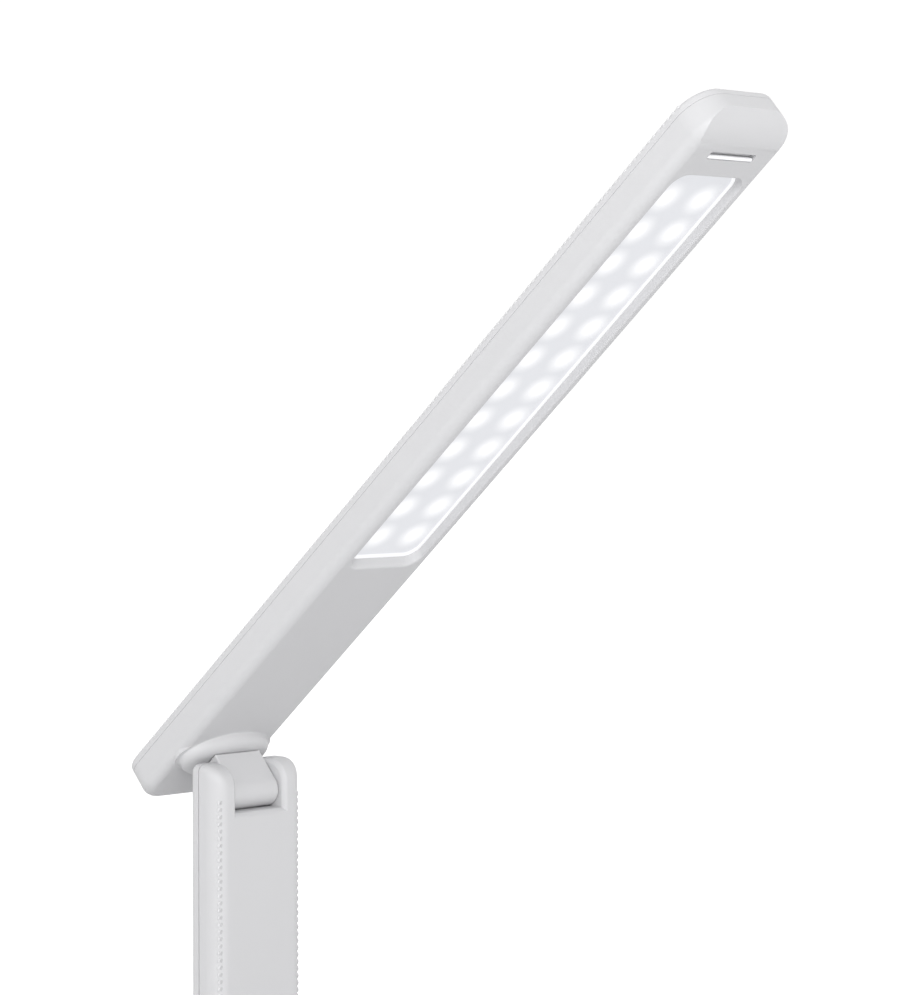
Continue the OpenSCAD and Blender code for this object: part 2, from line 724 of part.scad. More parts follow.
module base_bottom_tray() color("gainsboro") difference() {
    union() {
        translate([0, 0, tray_z]) linear_extrude(base_wall) base_plan(0);
        translate([0, 0, tray_top - eps]) linear_extrude(3) difference() {
            base_plan(base_wall + cover_gap);
            base_plan(base_wall + cover_gap + lip_t);
        }
        control_posts() {
            cylinder(h = control_z - tray_top + eps, r = post_r);
            cylinder(h = control_z - tray_top + control_t + 0.6, r = screw_r);
        }
    }
    translate([0, 0, tray_z - 1]) linear_extrude(1 + pad_t - pad_stand) base_plan(pad_inset - cover_gap);
    base_corners() {
        cylinder(h = pad_t + base_screw_head_t, r = stem_screw_head_r + cover_gap);
        cylinder(h = far, r = stem_screw_r + cover_gap);
        translate([0, 0, tray_top]) cylinder(h = far, r = base_boss_r + cover_gap);
    }
    translate([inlet_x - inlet_w/2 - 1, 0, tray_top]) cube([inlet_w + 2, far, far]);
}

module base_screws() color("gray") translate([0, 0, pad_t + base_screw_head_t]) base_corners()
    mirror([0, 0, 1]) screw(stem_screw_r, stem_screw_head_r, base_screw_head_t - 0.1, base_screw_len - 2);

module non_slip_pad() color("dimgray") linear_extrude(pad_t) base_plan(pad_inset);

module counterweight() color("slategray") difference() {
    translate([0, weight_mid, tray_top]) linear_extrude(weight_t) round_box(weight_w, weight_d, 4);
    translate([inlet_x - inlet_w/2 - 2, inlet_back - inlet_d - 6, 0]) cube([inlet_w + 4, far, far]);
    fork_bolts() {
        cylinder(h = far, r = fork_screw_head_r + 0.2);
        translate([0, 0, -far/2]) cylinder(h = far, r = fork_screw_r + 0.2);
    }
}

module control_posts() for (x = [-1, 1], y = [-1, 1])
    translate([x*(control_w/2 - 4), control_y + y*(control_d/2 - 4), tray_top - eps]) children();

module control_board() color("darkgreen") difference() {
    translate([0, control_y, control_z]) linear_extrude(control_t) round_box(control_w, control_d, 1.5);
    control_posts() cylinder(h = 9, r = screw_r + cover_gap);
}

// Block on the control board: its middle in X and Y, its width, depth and height
module on_board(part) translate([part.x - part[2]/2, control_y + part.y - part[3]/2, control_z + control_t])
    cube([part[2], part[3], part[4]]);

module board_parts() color("black") {
    for (part = [driver_chip, coil, diode, header]) on_board(part);
    for (x = capacitor_x) translate([x, control_y + capacitor_y, control_z + control_t])
        cylinder(h = capacitor_h, r = capacitor_r);
    for (x = socket_x) on_board([x, socket_y, socket_w, socket_d, socket_h]);
}

module touch_panel() color("lightgray") translate([0, 0, base_h - panel_t])
    linear_extrude(panel_t) touch_recess(0);

module touch_board() color("darkgreen") translate([0, panel_y, cover_in - touch_board_t])
    linear_extrude(touch_board_t) round_box(panel_l - 8, control_d - 4, 2);

module power_inlet() color("black") difference() {
    union() {
        translate([inlet_x - inlet_w/2, inlet_back - inlet_d, tray_top]) cube([inlet_w, inlet_d, inlet_h]);
        translate([inlet_x, inlet_back - 1, inlet_z]) rotate([-90, 0, 0])
            cylinder(h = base_d/2 - inlet_back + 1, r = inlet_nose_r);
    }
    difference() {
        translate([0, base_d/2 - inlet_depth, 0]) inlet_hole(inlet_r);
        inlet_hole(inlet_pin_r);
    }
}

module power_lead() color("white") lead([[inlet_x, inlet_face_y, inlet_z], [inlet_x, inlet_face_y - 2, inlet_z],
    [inlet_x, inlet_face_y - 6, lead_run_z], [inlet_x, 0, lead_run_z],
    [socket_x[1], lead_turn_y, lead_run_z], [socket_x[1], socket_face_y, socket_mid_z]]);

module base_lead() color("white") lead([[socket_x[0], socket_face_y, socket_mid_z],
    [socket_x[0], lead_turn_y, lead_run_z], [-fold_lead_x, lead_corner_y, lead_run_z],
    [-fold_lead_x, axis_y, lead_run_z], [-fold_lead_x, axis_y, fold_z - 0.5], [-fold_lead_x, axis_y, fold_z]]);

head_housing();
head_top_cover();
diffuser();
led_board();
leds();
led_board_screws();
head_lead();
swivel_washer();
swivel_spring_washer();
swivel_nut();
neck();
swivel_shaft();
tilt_pin();
tilt_nut();
thrust_washer();
neck_lead();
stem_front_shell();
stem_rear_cover();
tilt_bracket();
bracket_screws();
tilt_washers();
stem_lead();
stem_foot();
stem_screws();
fold_pin();
fold_nut();
upright_fork();
fork_screws();
fork_caps();
fold_washers();
base_top_cover();
base_bottom_tray();
counterweight();
control_board();
board_parts();
touch_panel();
touch_board();
power_inlet();
power_lead();
base_lead();
base_screws();
non_slip_pad();
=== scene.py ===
import json
import math

import bmesh
import bpy
from bpy.props import FloatProperty, FloatVectorProperty, IntProperty, PointerProperty
from mathutils import Euler, Matrix, Vector


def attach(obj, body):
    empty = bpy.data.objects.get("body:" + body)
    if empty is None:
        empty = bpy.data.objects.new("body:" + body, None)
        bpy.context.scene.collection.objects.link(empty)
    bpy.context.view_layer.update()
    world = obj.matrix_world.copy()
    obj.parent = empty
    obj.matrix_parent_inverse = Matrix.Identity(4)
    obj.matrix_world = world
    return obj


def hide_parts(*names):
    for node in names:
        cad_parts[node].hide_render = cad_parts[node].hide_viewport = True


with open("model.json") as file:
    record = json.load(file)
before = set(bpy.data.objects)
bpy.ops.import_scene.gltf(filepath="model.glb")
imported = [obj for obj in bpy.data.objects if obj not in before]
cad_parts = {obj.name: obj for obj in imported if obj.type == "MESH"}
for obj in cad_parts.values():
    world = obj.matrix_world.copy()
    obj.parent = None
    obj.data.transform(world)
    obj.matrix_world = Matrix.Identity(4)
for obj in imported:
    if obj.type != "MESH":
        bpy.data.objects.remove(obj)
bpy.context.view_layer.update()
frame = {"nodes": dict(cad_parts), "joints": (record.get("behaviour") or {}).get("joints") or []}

bl_info = {
    "name": "Folding LED Desk Lamp",
    "version": (1, 0, 0),
    "blender": (4, 5, 0),
    "location": "3D View > Sidebar > Desk Lamp",
    "description": "Dresses the frame of a folding desk lamp: head, neck, stem, base and their finishes",
    "category": "Add Mesh",
}

MM = 0.001
SAME = 1e-6  # points closer than this are the same point
NEAR = 1e-5  # places closer than this are on one line or plane
FIT = 0.15 * MM  # gap between two pieces that sit in each other
SEAM_EDGE = 0.25 * MM  # radius of the edges where two shells meet
SCREW_HEAD, SCREW_SINK = 2.8 * MM, 0.8 * MM  # radius of the stem's screw heads, and their depth
JOINTS = {joint["name"]: joint for joint in frame["joints"]}
FOLD_AXIS = Vector(JOINTS["stem_fold"]["pos_m"])
TILT_AXIS = Vector(JOINTS["head_tilt"]["pos_m"])
NECK_LINE = Vector(JOINTS["head_swivel"]["axis"])
HEAD_LIFT = math.atan2(NECK_LINE.y, NECK_LINE.z)

# Places: the head lies flat in HEAD, with its neck's axis up; the stem and fork stand at their hinge
HEAD = Matrix.Translation(TILT_AXIS) @ Matrix.Rotation(-HEAD_LIFT, 4, "X")
STEM = Matrix.Translation(TILT_AXIS)
FORK = Matrix.Translation(FOLD_AXIS)
BASE = Matrix.Identity(4)


def local_box(node, place):
    """Lowest and highest corner of a CAD node, measured in the given place."""
    back = place.inverted()
    points = [back @ vertex.co for vertex in frame["nodes"][node].data.vertices]
    low = Vector([min(p[i] for p in points) for i in range(3)])
    high = Vector([max(p[i] for p in points) for i in range(3)])
    return low, high


HOUSING_LOW, HOUSING_HIGH = local_box("head_housing", HEAD)
COVER_LOW, COVER_HIGH = local_box("head_top_cover", HEAD)
LENS_LOW, LENS_HIGH = local_box("diffuser", HEAD)
NECK_LOW, NECK_HIGH = local_box("neck", HEAD)
SHELL_LOW, SHELL_HIGH = local_box("stem_front_shell", STEM)
REAR_HIGH = local_box("stem_rear_cover", STEM)[1]
FORK_LOW, FORK_HIGH = local_box("upright_fork", FORK)
TOP_LOW, TOP_HIGH = local_box("base_top_cover", BASE)
TRAY_HIGH = local_box("base_bottom_tray", BASE)[1]
PANEL_LOW, PANEL_HIGH = local_box("touch_panel", BASE)
INLET_LOW, INLET_HIGH = local_box("power_inlet", BASE)
SCREW_LOW, SCREW_HIGH = local_box("stem_screws", STEM)
FOOT_SCREWS = [Vector((side * (SCREW_HIGH.x - SCREW_HEAD), REAR_HIGH.y - SCREW_SINK,
                       (SCREW_LOW.z + SCREW_HIGH.z) / 2)) for side in (-1, 1)]


def length(name, description, millimetres):
    """A size that a user can change; Blender keeps it in metres."""
    return FloatProperty(name=name, description=description, default=millimetres * MM, min=0.0,
                         max=5.0, precision=5, unit="LENGTH", subtype="DISTANCE")


def angle(name, description, degrees):
    """An angle that a user can change."""
    return FloatProperty(name=name, description=description, default=math.radians(degrees),
                         unit="ROTATION", subtype="ANGLE")


def number(name, description, default, low=0.0, high=10.0, unit="NONE"):
    """A number that a user can change."""
    return FloatProperty(name=name, description=description, default=default, min=low, max=high,
                         unit=unit)


def colour(name, description, default):
    """A colour that a user can change."""
    return FloatVectorProperty(name=name, description=description, default=default, size=4,
                               min=0.0, max=1.0, subtype="COLOR")


class LampHeadSizes(bpy.types.PropertyGroup):
    underside: length("Underside", "Distance from the tilt axis to the head's underside", 15.9)
    corner: length("Corner radius", "Radius of the head's corners beside the neck", 8.5)
    tip_corner: length("Tip corner", "Radius of the corners at the head's tip", 10.8)
    tip_run: length("Tip run", "Length of the underside's upward curve at the tip", 12.6)
    tip_rise: length("Tip rise", "Height of the underside's upward curve at the tip", 5.1)
    lower_edge: length("Lower edge", "Radius of the housing's lower edge", 3.5)
    upper_edge: length("Upper edge", "Radius of the top cover's upper edge", 1.4)
    wall: length("Wall", "Thickness of the housing's wall", 2.0)
    tip_wall: length("Tip wall", "Depth of the plastic behind the wall at the head's tip", 7)
    roof: length("Roof", "Thickness of the top cover", 1.6)
    lip_wall: length("Lip wall", "Thickness of the top cover's lip", 1.2)
    window_start: length("Window start", "Distance from the neck's axis to the window", 94.5)
    window_length: length("Window length", "Length of the light window", 174)
    window_width: length("Window width", "Width of the light window", 30.6)
    window_corner: length("Window corner", "Corner radius of the light window", 5)
    window_draft: length("Window draft", "Slope of the window's side walls over their depth", 0.5)
    window_ramp: length("Window ramp", "Slope of the window's near wall over its depth", 2.4)
    window_rim: length("Window rim", "Radius of the window's outer edge", 0.5)
    window_frame: length("Window frame", "Thickness of the frame around the window", 2)
    lens_ledge: length("Lens ledge", "Width of the lens that rests on the frame", 1.2)
    lens_rim: length("Lens rim", "Width of the sloped border of the lens", 0.7)
    lens_rise: length("Lens rise", "Height of the sloped border of the lens", 0.6)
    lens_crest: length("Lens crest", "Width of the border's lower face", 0.35)
    lens_gap: length("Lens gap", "Gap from the border to the window's walls", 0.1)
    spot_rows: length("Light rows", "Distance between the two rows of lights behind the lens", 15.6)
    spot_pitch: length("Light pitch", "Distance between two lights in a row", 13.64)
    spot_count: IntProperty(name="Lights", description="Lights in a row", default=12, min=1)
    spot_reach: length("Light reach", "Radius at which a light's spot fades out", 7.6)
    slot_length: length("Slot length", "Length of the finger slot near the tip", 20)
    slot_width: length("Slot width", "Width of the finger slot", 1.7)
    slot_depth: length("Slot depth", "Depth of the finger slot", 1.5)
    slot_corner: length("Slot corner", "Corner radius of the finger slot", 0.8)
    # The strip in the finger slot is painted much lighter than the shell, a painted highlight on the
    # slot's lip
    slot_lip: length("Slot lip", "Width of the bright strip in the finger slot", 1.3)
    slot_inset: length("Slot inset", "Distance of the finger slot from the tip", 13.8)
    collar: length("Collar radius", "Half the length of the collar along the head", 10.1)
    collar_width: length("Collar width", "Half the width of the collar across the head", 18.1)
    collar_flare: length("Collar flare", "Spread of the collar where it meets the head", 0.8)
    collar_edge: length("Collar edge", "Radius of the collar's lower edge", 3.6)
    shaft: length("Shaft bore", "Radius of the bore for the swivel shaft", 3.05)


class LampNeckSizes(bpy.types.PropertyGroup):
    barrel: length("Barrel", "Radius of the neck's barrel about the tilt axis", 5.35)
    gap: length("Gap", "Gap from the neck to the head's collar", 0.1)
    edge: length("Edge", "Radius of the neck's side edges", 0.7)
    pin_bore: length("Pin bore", "Radius of the bore for the tilt pin", 1.82)
    shaft_bore: length("Shaft bore", "Radius of the bore for the swivel shaft", 3.02)
    lead_bore: length("Lead bore", "Radius of the bore for the lead", 1.1)


class LampStemSizes(bpy.types.PropertyGroup):
    front_corner: length("Front corners", "Radius of the stem's front corners", 6)
    rear_corner: length("Rear corners", "Radius of the stem's rear corners", 1.5)
    cheek_front: length("Cheek front", "Radius of the cheeks' front top edge", 7.75)
    cheek_corner: length("Cheek corner", "Radius of the cheeks' outer top corners", 2.4)
    pocket: length("Pocket half width", "Half the width of the neck's pocket", 10.15)
    pocket_depth: length("Pocket depth", "Depth of the pocket below the hinge axis", 5.5)
    pocket_edge: length("Pocket edge", "Radius of the pocket's edges", 1.8)
    pocket_wall: length("Pocket wall", "Thickness of the plastic around the pocket", 1.4)
    wall: length("Wall", "Thickness of the shells' walls", 1.6)
    seam: length("Seam", "Width of the groove where the two shells meet", 0.36)
    seam_depth: length("Seam depth", "Depth of the groove where the two shells meet", 0.4)
    tilt_bore: length("Tilt bore", "Radius of the holes for the tilt pin", 2.1)
    fold_bore: length("Fold bore", "Radius of the holes for the fold pin", 1.85)
    screw_bore: length("Screw bore", "Radius of the holes for the stem's screws", 1.65)
    screw_seat: length("Screw seat", "Radius of the seats for the screws' heads", 2.95)
    cap_seat: length("Cap seat", "Radius of the seats for the fork's caps", 4.2)
    ear: length("Ear", "Thickness of the fork's ears under their caps", 2.8)
    flange: length("Flange", "Thickness and corner radius of the fork's flange", 3)


class LampStitchSizes(bpy.types.PropertyGroup):
    pitch: length("Pitch", "Distance between two stitches", 2.28)
    reach: length("Length", "Length of one stitch", 1.7)
    width: length("Width", "Width of one stitch", 0.9)
    slant: angle("Slant", "Slant of a stitch against its row", 12)
    turn: angle("Turn", "How far a row lies round the head's soft edge", 55)
    stem_turn: angle("Stem turn", "How far a row lies round the stem's corner", 46)
    rise: length("Rise", "How far a stitch of the stem stands out", 0.6)
    head_rise: length("Head rise", "How far a stitch of the head stands out", 0.24)
    # Width of the darker marks beside the stem's stitches, which are painted shadow of the threads
    stitch_shadow_width: length("Hole width", "Width of the needle mark beside a stitch", 0.7)
    start: length("Start", "Height of the first stitch above the stem's foot", 4)


class LampBaseSizes(bpy.types.PropertyGroup):
    corner: length("Corner radius", "Radius of the base's corners", 12)
    upper_edge: length("Upper edge", "Radius of the base's upper edge", 3)
    wall: length("Wall", "Thickness of the base's covers", 2.2)
    panel_corner: length("Panel corner", "Corner radius of the touch panel", 3)
    lap: length("Lap", "How far the top cover reaches down over the tray", 3)
    inlet: length("Inlet bore", "Radius of the hole for the power inlet", 4.15)
    icon: length("Icon size", "Radius of the icons on the touch panel", 3.2)
    icon_pitch: length("Icon pitch", "Distance that sets the icons apart", 20)
    stroke: length("Stroke", "Width of the icons' lines", 0.45)
    ink: length("Ink", "Thickness of the icons", 0.05)


class LampColours(bpy.types.PropertyGroup):
    plastic: colour("Plastic", "White moulded plastic", (0.54, 0.54, 0.55, 1))
    light: colour("Light", "Milky lens between two lights", (0.80, 0.81, 0.845, 1))
    lead: colour("Lead", "Jacket of the leads", (0.78, 0.78, 0.77, 1))
    metal: colour("Metal", "Plated steel", (0.62, 0.62, 0.63, 1))
    brass: colour("Brass", "Turned brass nuts", (0.72, 0.55, 0.27, 1))
    rubber: colour("Rubber", "Non-slip pad", (0.035, 0.035, 0.037, 1))
    board: colour("Board", "Lacquered circuit board", (0.035, 0.16, 0.08, 1))
    glow: number("Glow", "Strength of the light from the lens", 1.0)


class LampCamera(bpy.types.PropertyGroup):
    place: FloatVectorProperty(name="Place", description="Camera's place from the tilt axis", size=3,
                               default=(-729.6 * MM, -777.4 * MM, 128.6 * MM), unit="LENGTH",
                               subtype="TRANSLATION")
    drop: angle("Drop", "Angle by which the camera looks down", 1.841)
    turn: angle("Turn", "Angle by which the camera is turned towards +X", 46.721)
    lens: number("Lens", "Focal length in millimetres", 120.2, 1.0, 1000.0, "CAMERA")


class LampLights(bpy.types.PropertyGroup):
    key: number("Key light", "Power of the light in front, in watts", 29.0, 0.0, 1000.0, "POWER")
    fill: number("Fill light", "Power of the light at the side, in watts", 3.0, 0.0, 1000.0, "POWER")
    size: length("Light size", "Width and height of both lights", 1000)
    dim: number("Dim side", "Strength of the studio's darker side", 0.5)
    lit: number("Lit side", "Strength of the studio's brighter side", 1.03)
    lit_side: FloatVectorProperty(name="Lit direction", description="Direction of the brighter side",
                                  size=3, default=(0.37, 0.93, 0), subtype="DIRECTION")


# ---- Modelling by hand ----

def to_object_mode():
    if bpy.context.mode != "OBJECT":
        bpy.ops.object.mode_set(mode="OBJECT")


def deselect_all():
    to_object_mode()
    bpy.ops.object.select_all(action="DESELECT")


def take(piece):
    """Makes a piece the only selected and active object."""
    deselect_all()
    piece.select_set(True)
    bpy.context.view_layer.objects.active = piece


def apply_place(piece):
    """Puts a piece's place into its mesh, so that its object stands at the origin."""
    take(piece)
    bpy.ops.object.transform_apply(location=True, rotation=True, scale=True)
    return piece


def block(name, low, high):
    """Adds a cube that fills the box from low to high."""
    deselect_all()
    low, high = Vector(low), Vector(high)
    bpy.ops.mesh.primitive_cube_add(size=1, location=(low + high) / 2, scale=high - low)
    bpy.context.object.name = name
    return apply_place(bpy.context.object)


def rod(name, start, end, radius, sides=48):
    """Adds a cylinder from start to end."""
    deselect_all()
    start, end = Vector(start), Vector(end)
    turn = (end - start).to_track_quat("Z", "Y").to_euler()
    bpy.ops.mesh.primitive_cylinder_add(vertices=sides, radius=radius, depth=(end - start).length,
                                        location=(start + end) / 2, rotation=turn)
    bpy.context.object.name = name
    return apply_place(bpy.context.object)


def turned(name, outline, steps=96):
    """Turns an outline of (radius, height) points round the Z axis."""
    deselect_all()
    bpy.ops.mesh.primitive_plane_add(size=MM)
    piece = bpy.context.object
    piece.name = name
    bpy.ops.object.mode_set(mode="EDIT")
    bpy.ops.mesh.select_mode(type="VERT")
    bpy.ops.mesh.merge(type="CENTER")
    points = [Vector((radius, 0, height)) for radius, height in outline]
    bpy.ops.transform.translate(value=points[0])
    for before, after in zip(points, points[1:]):
        bpy.ops.mesh.extrude_region_move(TRANSFORM_OT_translate={"value": after - before})
    bpy.ops.mesh.select_all(action="SELECT")
    bpy.ops.mesh.spin(steps=steps, angle=math.tau, center=(0, 0, 0), axis=(0, 0, 1))
    bpy.ops.mesh.select_all(action="SELECT")
    bpy.ops.mesh.remove_doubles(threshold=SAME)
    bpy.ops.mesh.normals_make_consistent(inside=False)
    to_object_mode()
    return piece


def edit(piece, kind):
    """Opens a piece in edit mode for picking points or edges, with nothing selected."""
    take(piece)
    bpy.ops.object.mode_set(mode="EDIT")
    bpy.ops.mesh.select_mode(type=kind)
    bpy.ops.mesh.select_all(action="DESELECT")
    return bmesh.from_edit_mesh(piece.data)


def pick_edges(piece, test):
    """Selects the edges whose two ends pass the test, in edit mode."""
    mesh = edit(piece, "EDGE")
    for edge in mesh.edges:
        if test(edge.verts[0].co, edge.verts[1].co):
            edge.select_set(True)
    bmesh.update_edit_mesh(piece.data)


def pick_points(piece, height):
    """Selects the points at one height, in edit mode."""
    mesh = edit(piece, "VERT")
    for vertex in mesh.verts:
        if abs(vertex.co.z - height) < SAME:
            vertex.select_set(True)
    bmesh.update_edit_mesh(piece.data)


def round_edges(piece, test, radius, segments=6, clamp=True, profile=0.5):
    """Rounds the edges that pass the test; a lower profile is flatter."""
    pick_edges(piece, test)
    bpy.ops.mesh.bevel(offset=radius, segments=segments, profile=profile, affect="EDGES",
                       clamp_overlap=clamp)
    bpy.ops.mesh.select_all(action="SELECT")
    bpy.ops.mesh.remove_doubles(threshold=SAME)
    to_object_mode()


def along(axis):
    """Test for edges that run along an axis."""
    others = [i for i in range(3) if i != axis]
    return lambda a, b: all(abs(a[i] - b[i]) < SAME for i in others) and abs(a[axis] - b[axis]) > NEAR


def level(axis, place):
    """Test for edges that lie in the plane where the axis has the given value."""
    return lambda a, b: abs(a[axis] - place) < NEAR and abs(b[axis] - place) < NEAR


def both(first, second):
    return lambda a, b: first(a, b) and second(a, b)


def combine(piece, tool, operation="DIFFERENCE"):
    """Cuts a tool out of a piece, joins it on or keeps what they share, and removes the tool."""
    take(piece)
    step = piece.modifiers.new("combine", "BOOLEAN")
    step.operation = operation
    step.solver = "EXACT"
    step.object = tool
    bpy.ops.object.modifier_apply(modifier=step.name)
    bpy.data.objects.remove(tool)
    return piece


def smooth(piece, angle):
    """Shades a piece smooth where it bends less than angle, with flat faces kept flat."""
    take(piece)
    bpy.ops.object.shade_smooth_by_angle(angle=math.radians(angle), keep_sharp_edges=True)
    step = piece.modifiers.new("weighted", "WEIGHTED_NORMAL")
    step.keep_sharp = True
    step.weight = 100
    bpy.ops.object.modifier_apply(modifier=step.name)
    return piece


def join(name, pieces):
    """Joins pieces into one object."""
    deselect_all()
    for piece in pieces:
        piece.select_set(True)
    bpy.context.view_layer.objects.active = pieces[0]
    bpy.ops.object.join()
    bpy.context.object.name = name
    return bpy.context.object


def settle(piece, place, body, finish, replaced=(), bend=35):
    """Smooths a piece, puts it in its place and gives it its finish, body and replaced nodes."""
    if bend:
        smooth(piece, bend)
    piece.matrix_world = place
    apply_place(piece)
    piece.data.materials.clear()
    piece.data.materials.append(finish)
    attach(piece, body)
    if replaced:
        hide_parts(*replaced)
    return piece


# ---- Finishes ----

class Graph:
    """The nodes of a material or a world, with short calls to add and feed them."""

    def __init__(self, owner, shader="Principled BSDF"):
        owner.use_nodes = True
        self.owner = owner
        self.tree = owner.node_tree
        self.shader = self.tree.nodes[shader]

    def feed(self, node, inputs):
        """Sets a node's inputs to plain values or links them to outputs of other nodes."""
        for name, value in inputs.items():
            if isinstance(value, bpy.types.NodeSocket):
                self.tree.links.new(value, node.inputs[name])
            else:
                node.inputs[name].default_value = value

    def add(self, kind, inputs, **settings):
        """Adds a node with its settings and inputs; returns its outputs."""
        node = self.tree.nodes.new(kind)
        for key, value in settings.items():
            setattr(node, key, value)
        self.feed(node, inputs)
        return node.outputs

    def math(self, operation, *values):
        """A Math node of one or two numbers or outputs."""
        return self.add("ShaderNodeMath", dict(enumerate(values)), operation=operation)[0]

    def coordinates(self, place=None):
        """Object coordinates, measured in a place of the lamp when one is given."""
        source = self.add("ShaderNodeTexCoord", {})["Object"]
        if place is None:
            return source
        back = place.inverted()
        return self.add("ShaderNodeMapping", {"Vector": source, "Rotation": back.to_euler(),
                                              "Location": back.to_translation()})["Vector"]

    def noise(self, scale, detail=2.0):
        return self.add("ShaderNodeTexNoise", {"Scale": scale, "Detail": detail,
                                               "Vector": self.coordinates()})["Fac"]

    def between(self, value, low, high, start=0.0, end=1.0, kind="LINEAR"):
        """Maps a value from start..end to low..high."""
        return self.add("ShaderNodeMapRange", {"Value": value, "From Min": start, "From Max": end,
                                               "To Min": low, "To Max": high},
                        interpolation_type=kind)["Result"]

    def blend(self, factor, first, second):
        """Mixes two colours by a factor."""
        return self.add("ShaderNodeMix", {"Factor": factor, "A": first, "B": second},
                        data_type="RGBA")["Result"]

    def material(self, inputs, height, strength, distance):
        """Feeds the surface and its bump; returns the finished material."""
        bump = self.add("ShaderNodeBump", {"Height": height, "Strength": strength,
                                           "Distance": distance})
        self.feed(self.shader, {**inputs, "Normal": bump["Normal"]})
        return self.owner


def shaded(colour, share):
    """A colour made lighter or darker by a share."""
    return tuple(min(1.0, c * share) for c in colour[:3]) + (1.0,)


def moulded(name, colour, roughness, grain_size, grain_depth, variation=0.02, coat=0.0):
    """Moulded plastic: a fine even grain, and a faint drift of colour and roughness."""
    graph = Graph(bpy.data.materials.new(name))
    return graph.material({
        "Base Color": graph.blend(graph.noise(14.0), shaded(colour, 1 - variation),
                                  shaded(colour, 1 + variation)),
        "Roughness": graph.between(graph.noise(60.0), roughness - 0.05, roughness + 0.05),
        "Specular IOR Level": 0.42,
        "Coat Weight": coat,
    }, graph.noise(1 / grain_size, 3.0), 0.35, grain_depth)


def plated(name, colour, roughness):
    """Turned or rolled metal with fine machining marks."""
    graph = Graph(bpy.data.materials.new(name))
    marks = graph.add("ShaderNodeTexWave", {"Scale": 900.0, "Distortion": 1.5,
                                            "Vector": graph.coordinates()},
                      wave_type="RINGS", rings_direction="X")["Fac"]
    return graph.material({
        "Base Color": graph.blend(marks, shaded(colour, 0.9), shaded(colour, 1.05)),
        "Roughness": graph.between(graph.noise(300.0), roughness - 0.06, roughness + 0.08),
        "Metallic": 1.0,
    }, marks, 0.15, 0.02 * MM)


def lacquered_board(name, colour):
    """Circuit board lacquer over copper tracks."""
    graph = Graph(bpy.data.materials.new(name))
    tracks = graph.add("ShaderNodeTexBrick", {
        "Scale": 240.0, "Mortar Size": 0.03, "Color1": colour, "Color2": shaded(colour, 1.2),
        "Mortar": shaded(colour, 2.2), "Vector": graph.coordinates()})
    return graph.material({"Base Color": tracks["Color"], "Roughness": 0.35},
                          tracks["Fac"], 0.3, 0.03 * MM)


def lit_lens(name, colour, glow, sizes, middle, border):
    """Milky lens: an even glow, a bright round spot in front of every light and a bright border."""
    graph = Graph(bpy.data.materials.new(name))
    faint, strong, border_share = 0.69 * glow, 0.885 * glow, 0.7
    place = graph.add("ShaderNodeSeparateXYZ", {"Vector": graph.coordinates(HEAD)})
    across = graph.math("SUBTRACT", graph.math("ABSOLUTE", place["X"]), sizes.spot_rows / 2)
    steps = graph.math("DIVIDE", graph.math("SUBTRACT", place["Y"], middle), sizes.spot_pitch)
    offset = graph.math("SUBTRACT", graph.math("FRACT", steps), 0.5)
    down = graph.math("MULTIPLY", offset, sizes.spot_pitch)
    distance = graph.math("SQRT", graph.math("ADD", graph.math("MULTIPLY", across, across),
                                             graph.math("MULTIPLY", down, down)))
    spot = graph.between(distance, 1.0, 0.0, 0.0, sizes.spot_reach, "SMOOTHSTEP")
    inside = graph.math("LESS_THAN", graph.math("ABSOLUTE", steps), sizes.spot_count / 2)
    rim = graph.math("MULTIPLY", graph.math("LESS_THAN", place["Z"], border), border_share)
    bright = graph.math("MAXIMUM", graph.math("MULTIPLY", spot, inside), rim)
    return graph.material({
        "Emission Color": graph.blend(bright, colour, (1, 1, 1, 1)),
        "Emission Strength": graph.between(bright, faint, strong),
        "Base Color": graph.blend(graph.noise(90.0), shaded(colour, 0.2), shaded(colour, 0.24)),
        "Roughness": 0.32,
    }, graph.noise(1200.0), 0.1, 0.02 * MM)


def ribbed_rubber(name, colour):
    """Matte rubber with fine slanting ribs."""
    graph = Graph(bpy.data.materials.new(name))
    ribs = graph.add("ShaderNodeTexWave", {"Scale": 220.0, "Vector": graph.coordinates()},
                     wave_type="BANDS", bands_direction="DIAGONAL")["Fac"]
    return graph.material({
        "Base Color": graph.blend(graph.noise(80.0), shaded(colour, 0.8), shaded(colour, 1.5)),
        "Roughness": 0.85,
    }, ribs, 0.4, 0.1 * MM)


def printed_panel(name, colour):
    """Back-painted glass: an even colour under a hard clear face."""
    graph = Graph(bpy.data.materials.new(name))
    return graph.material({
        "Base Color": graph.blend(graph.noise(20.0), shaded(colour, 0.97), shaded(colour, 1.03)),
        "Roughness": graph.between(graph.noise(200.0), 0.06, 0.12),
        "Coat Weight": 0.6,
    }, graph.noise(40.0), 0.02, 0.01 * MM)


FINISHES = {}


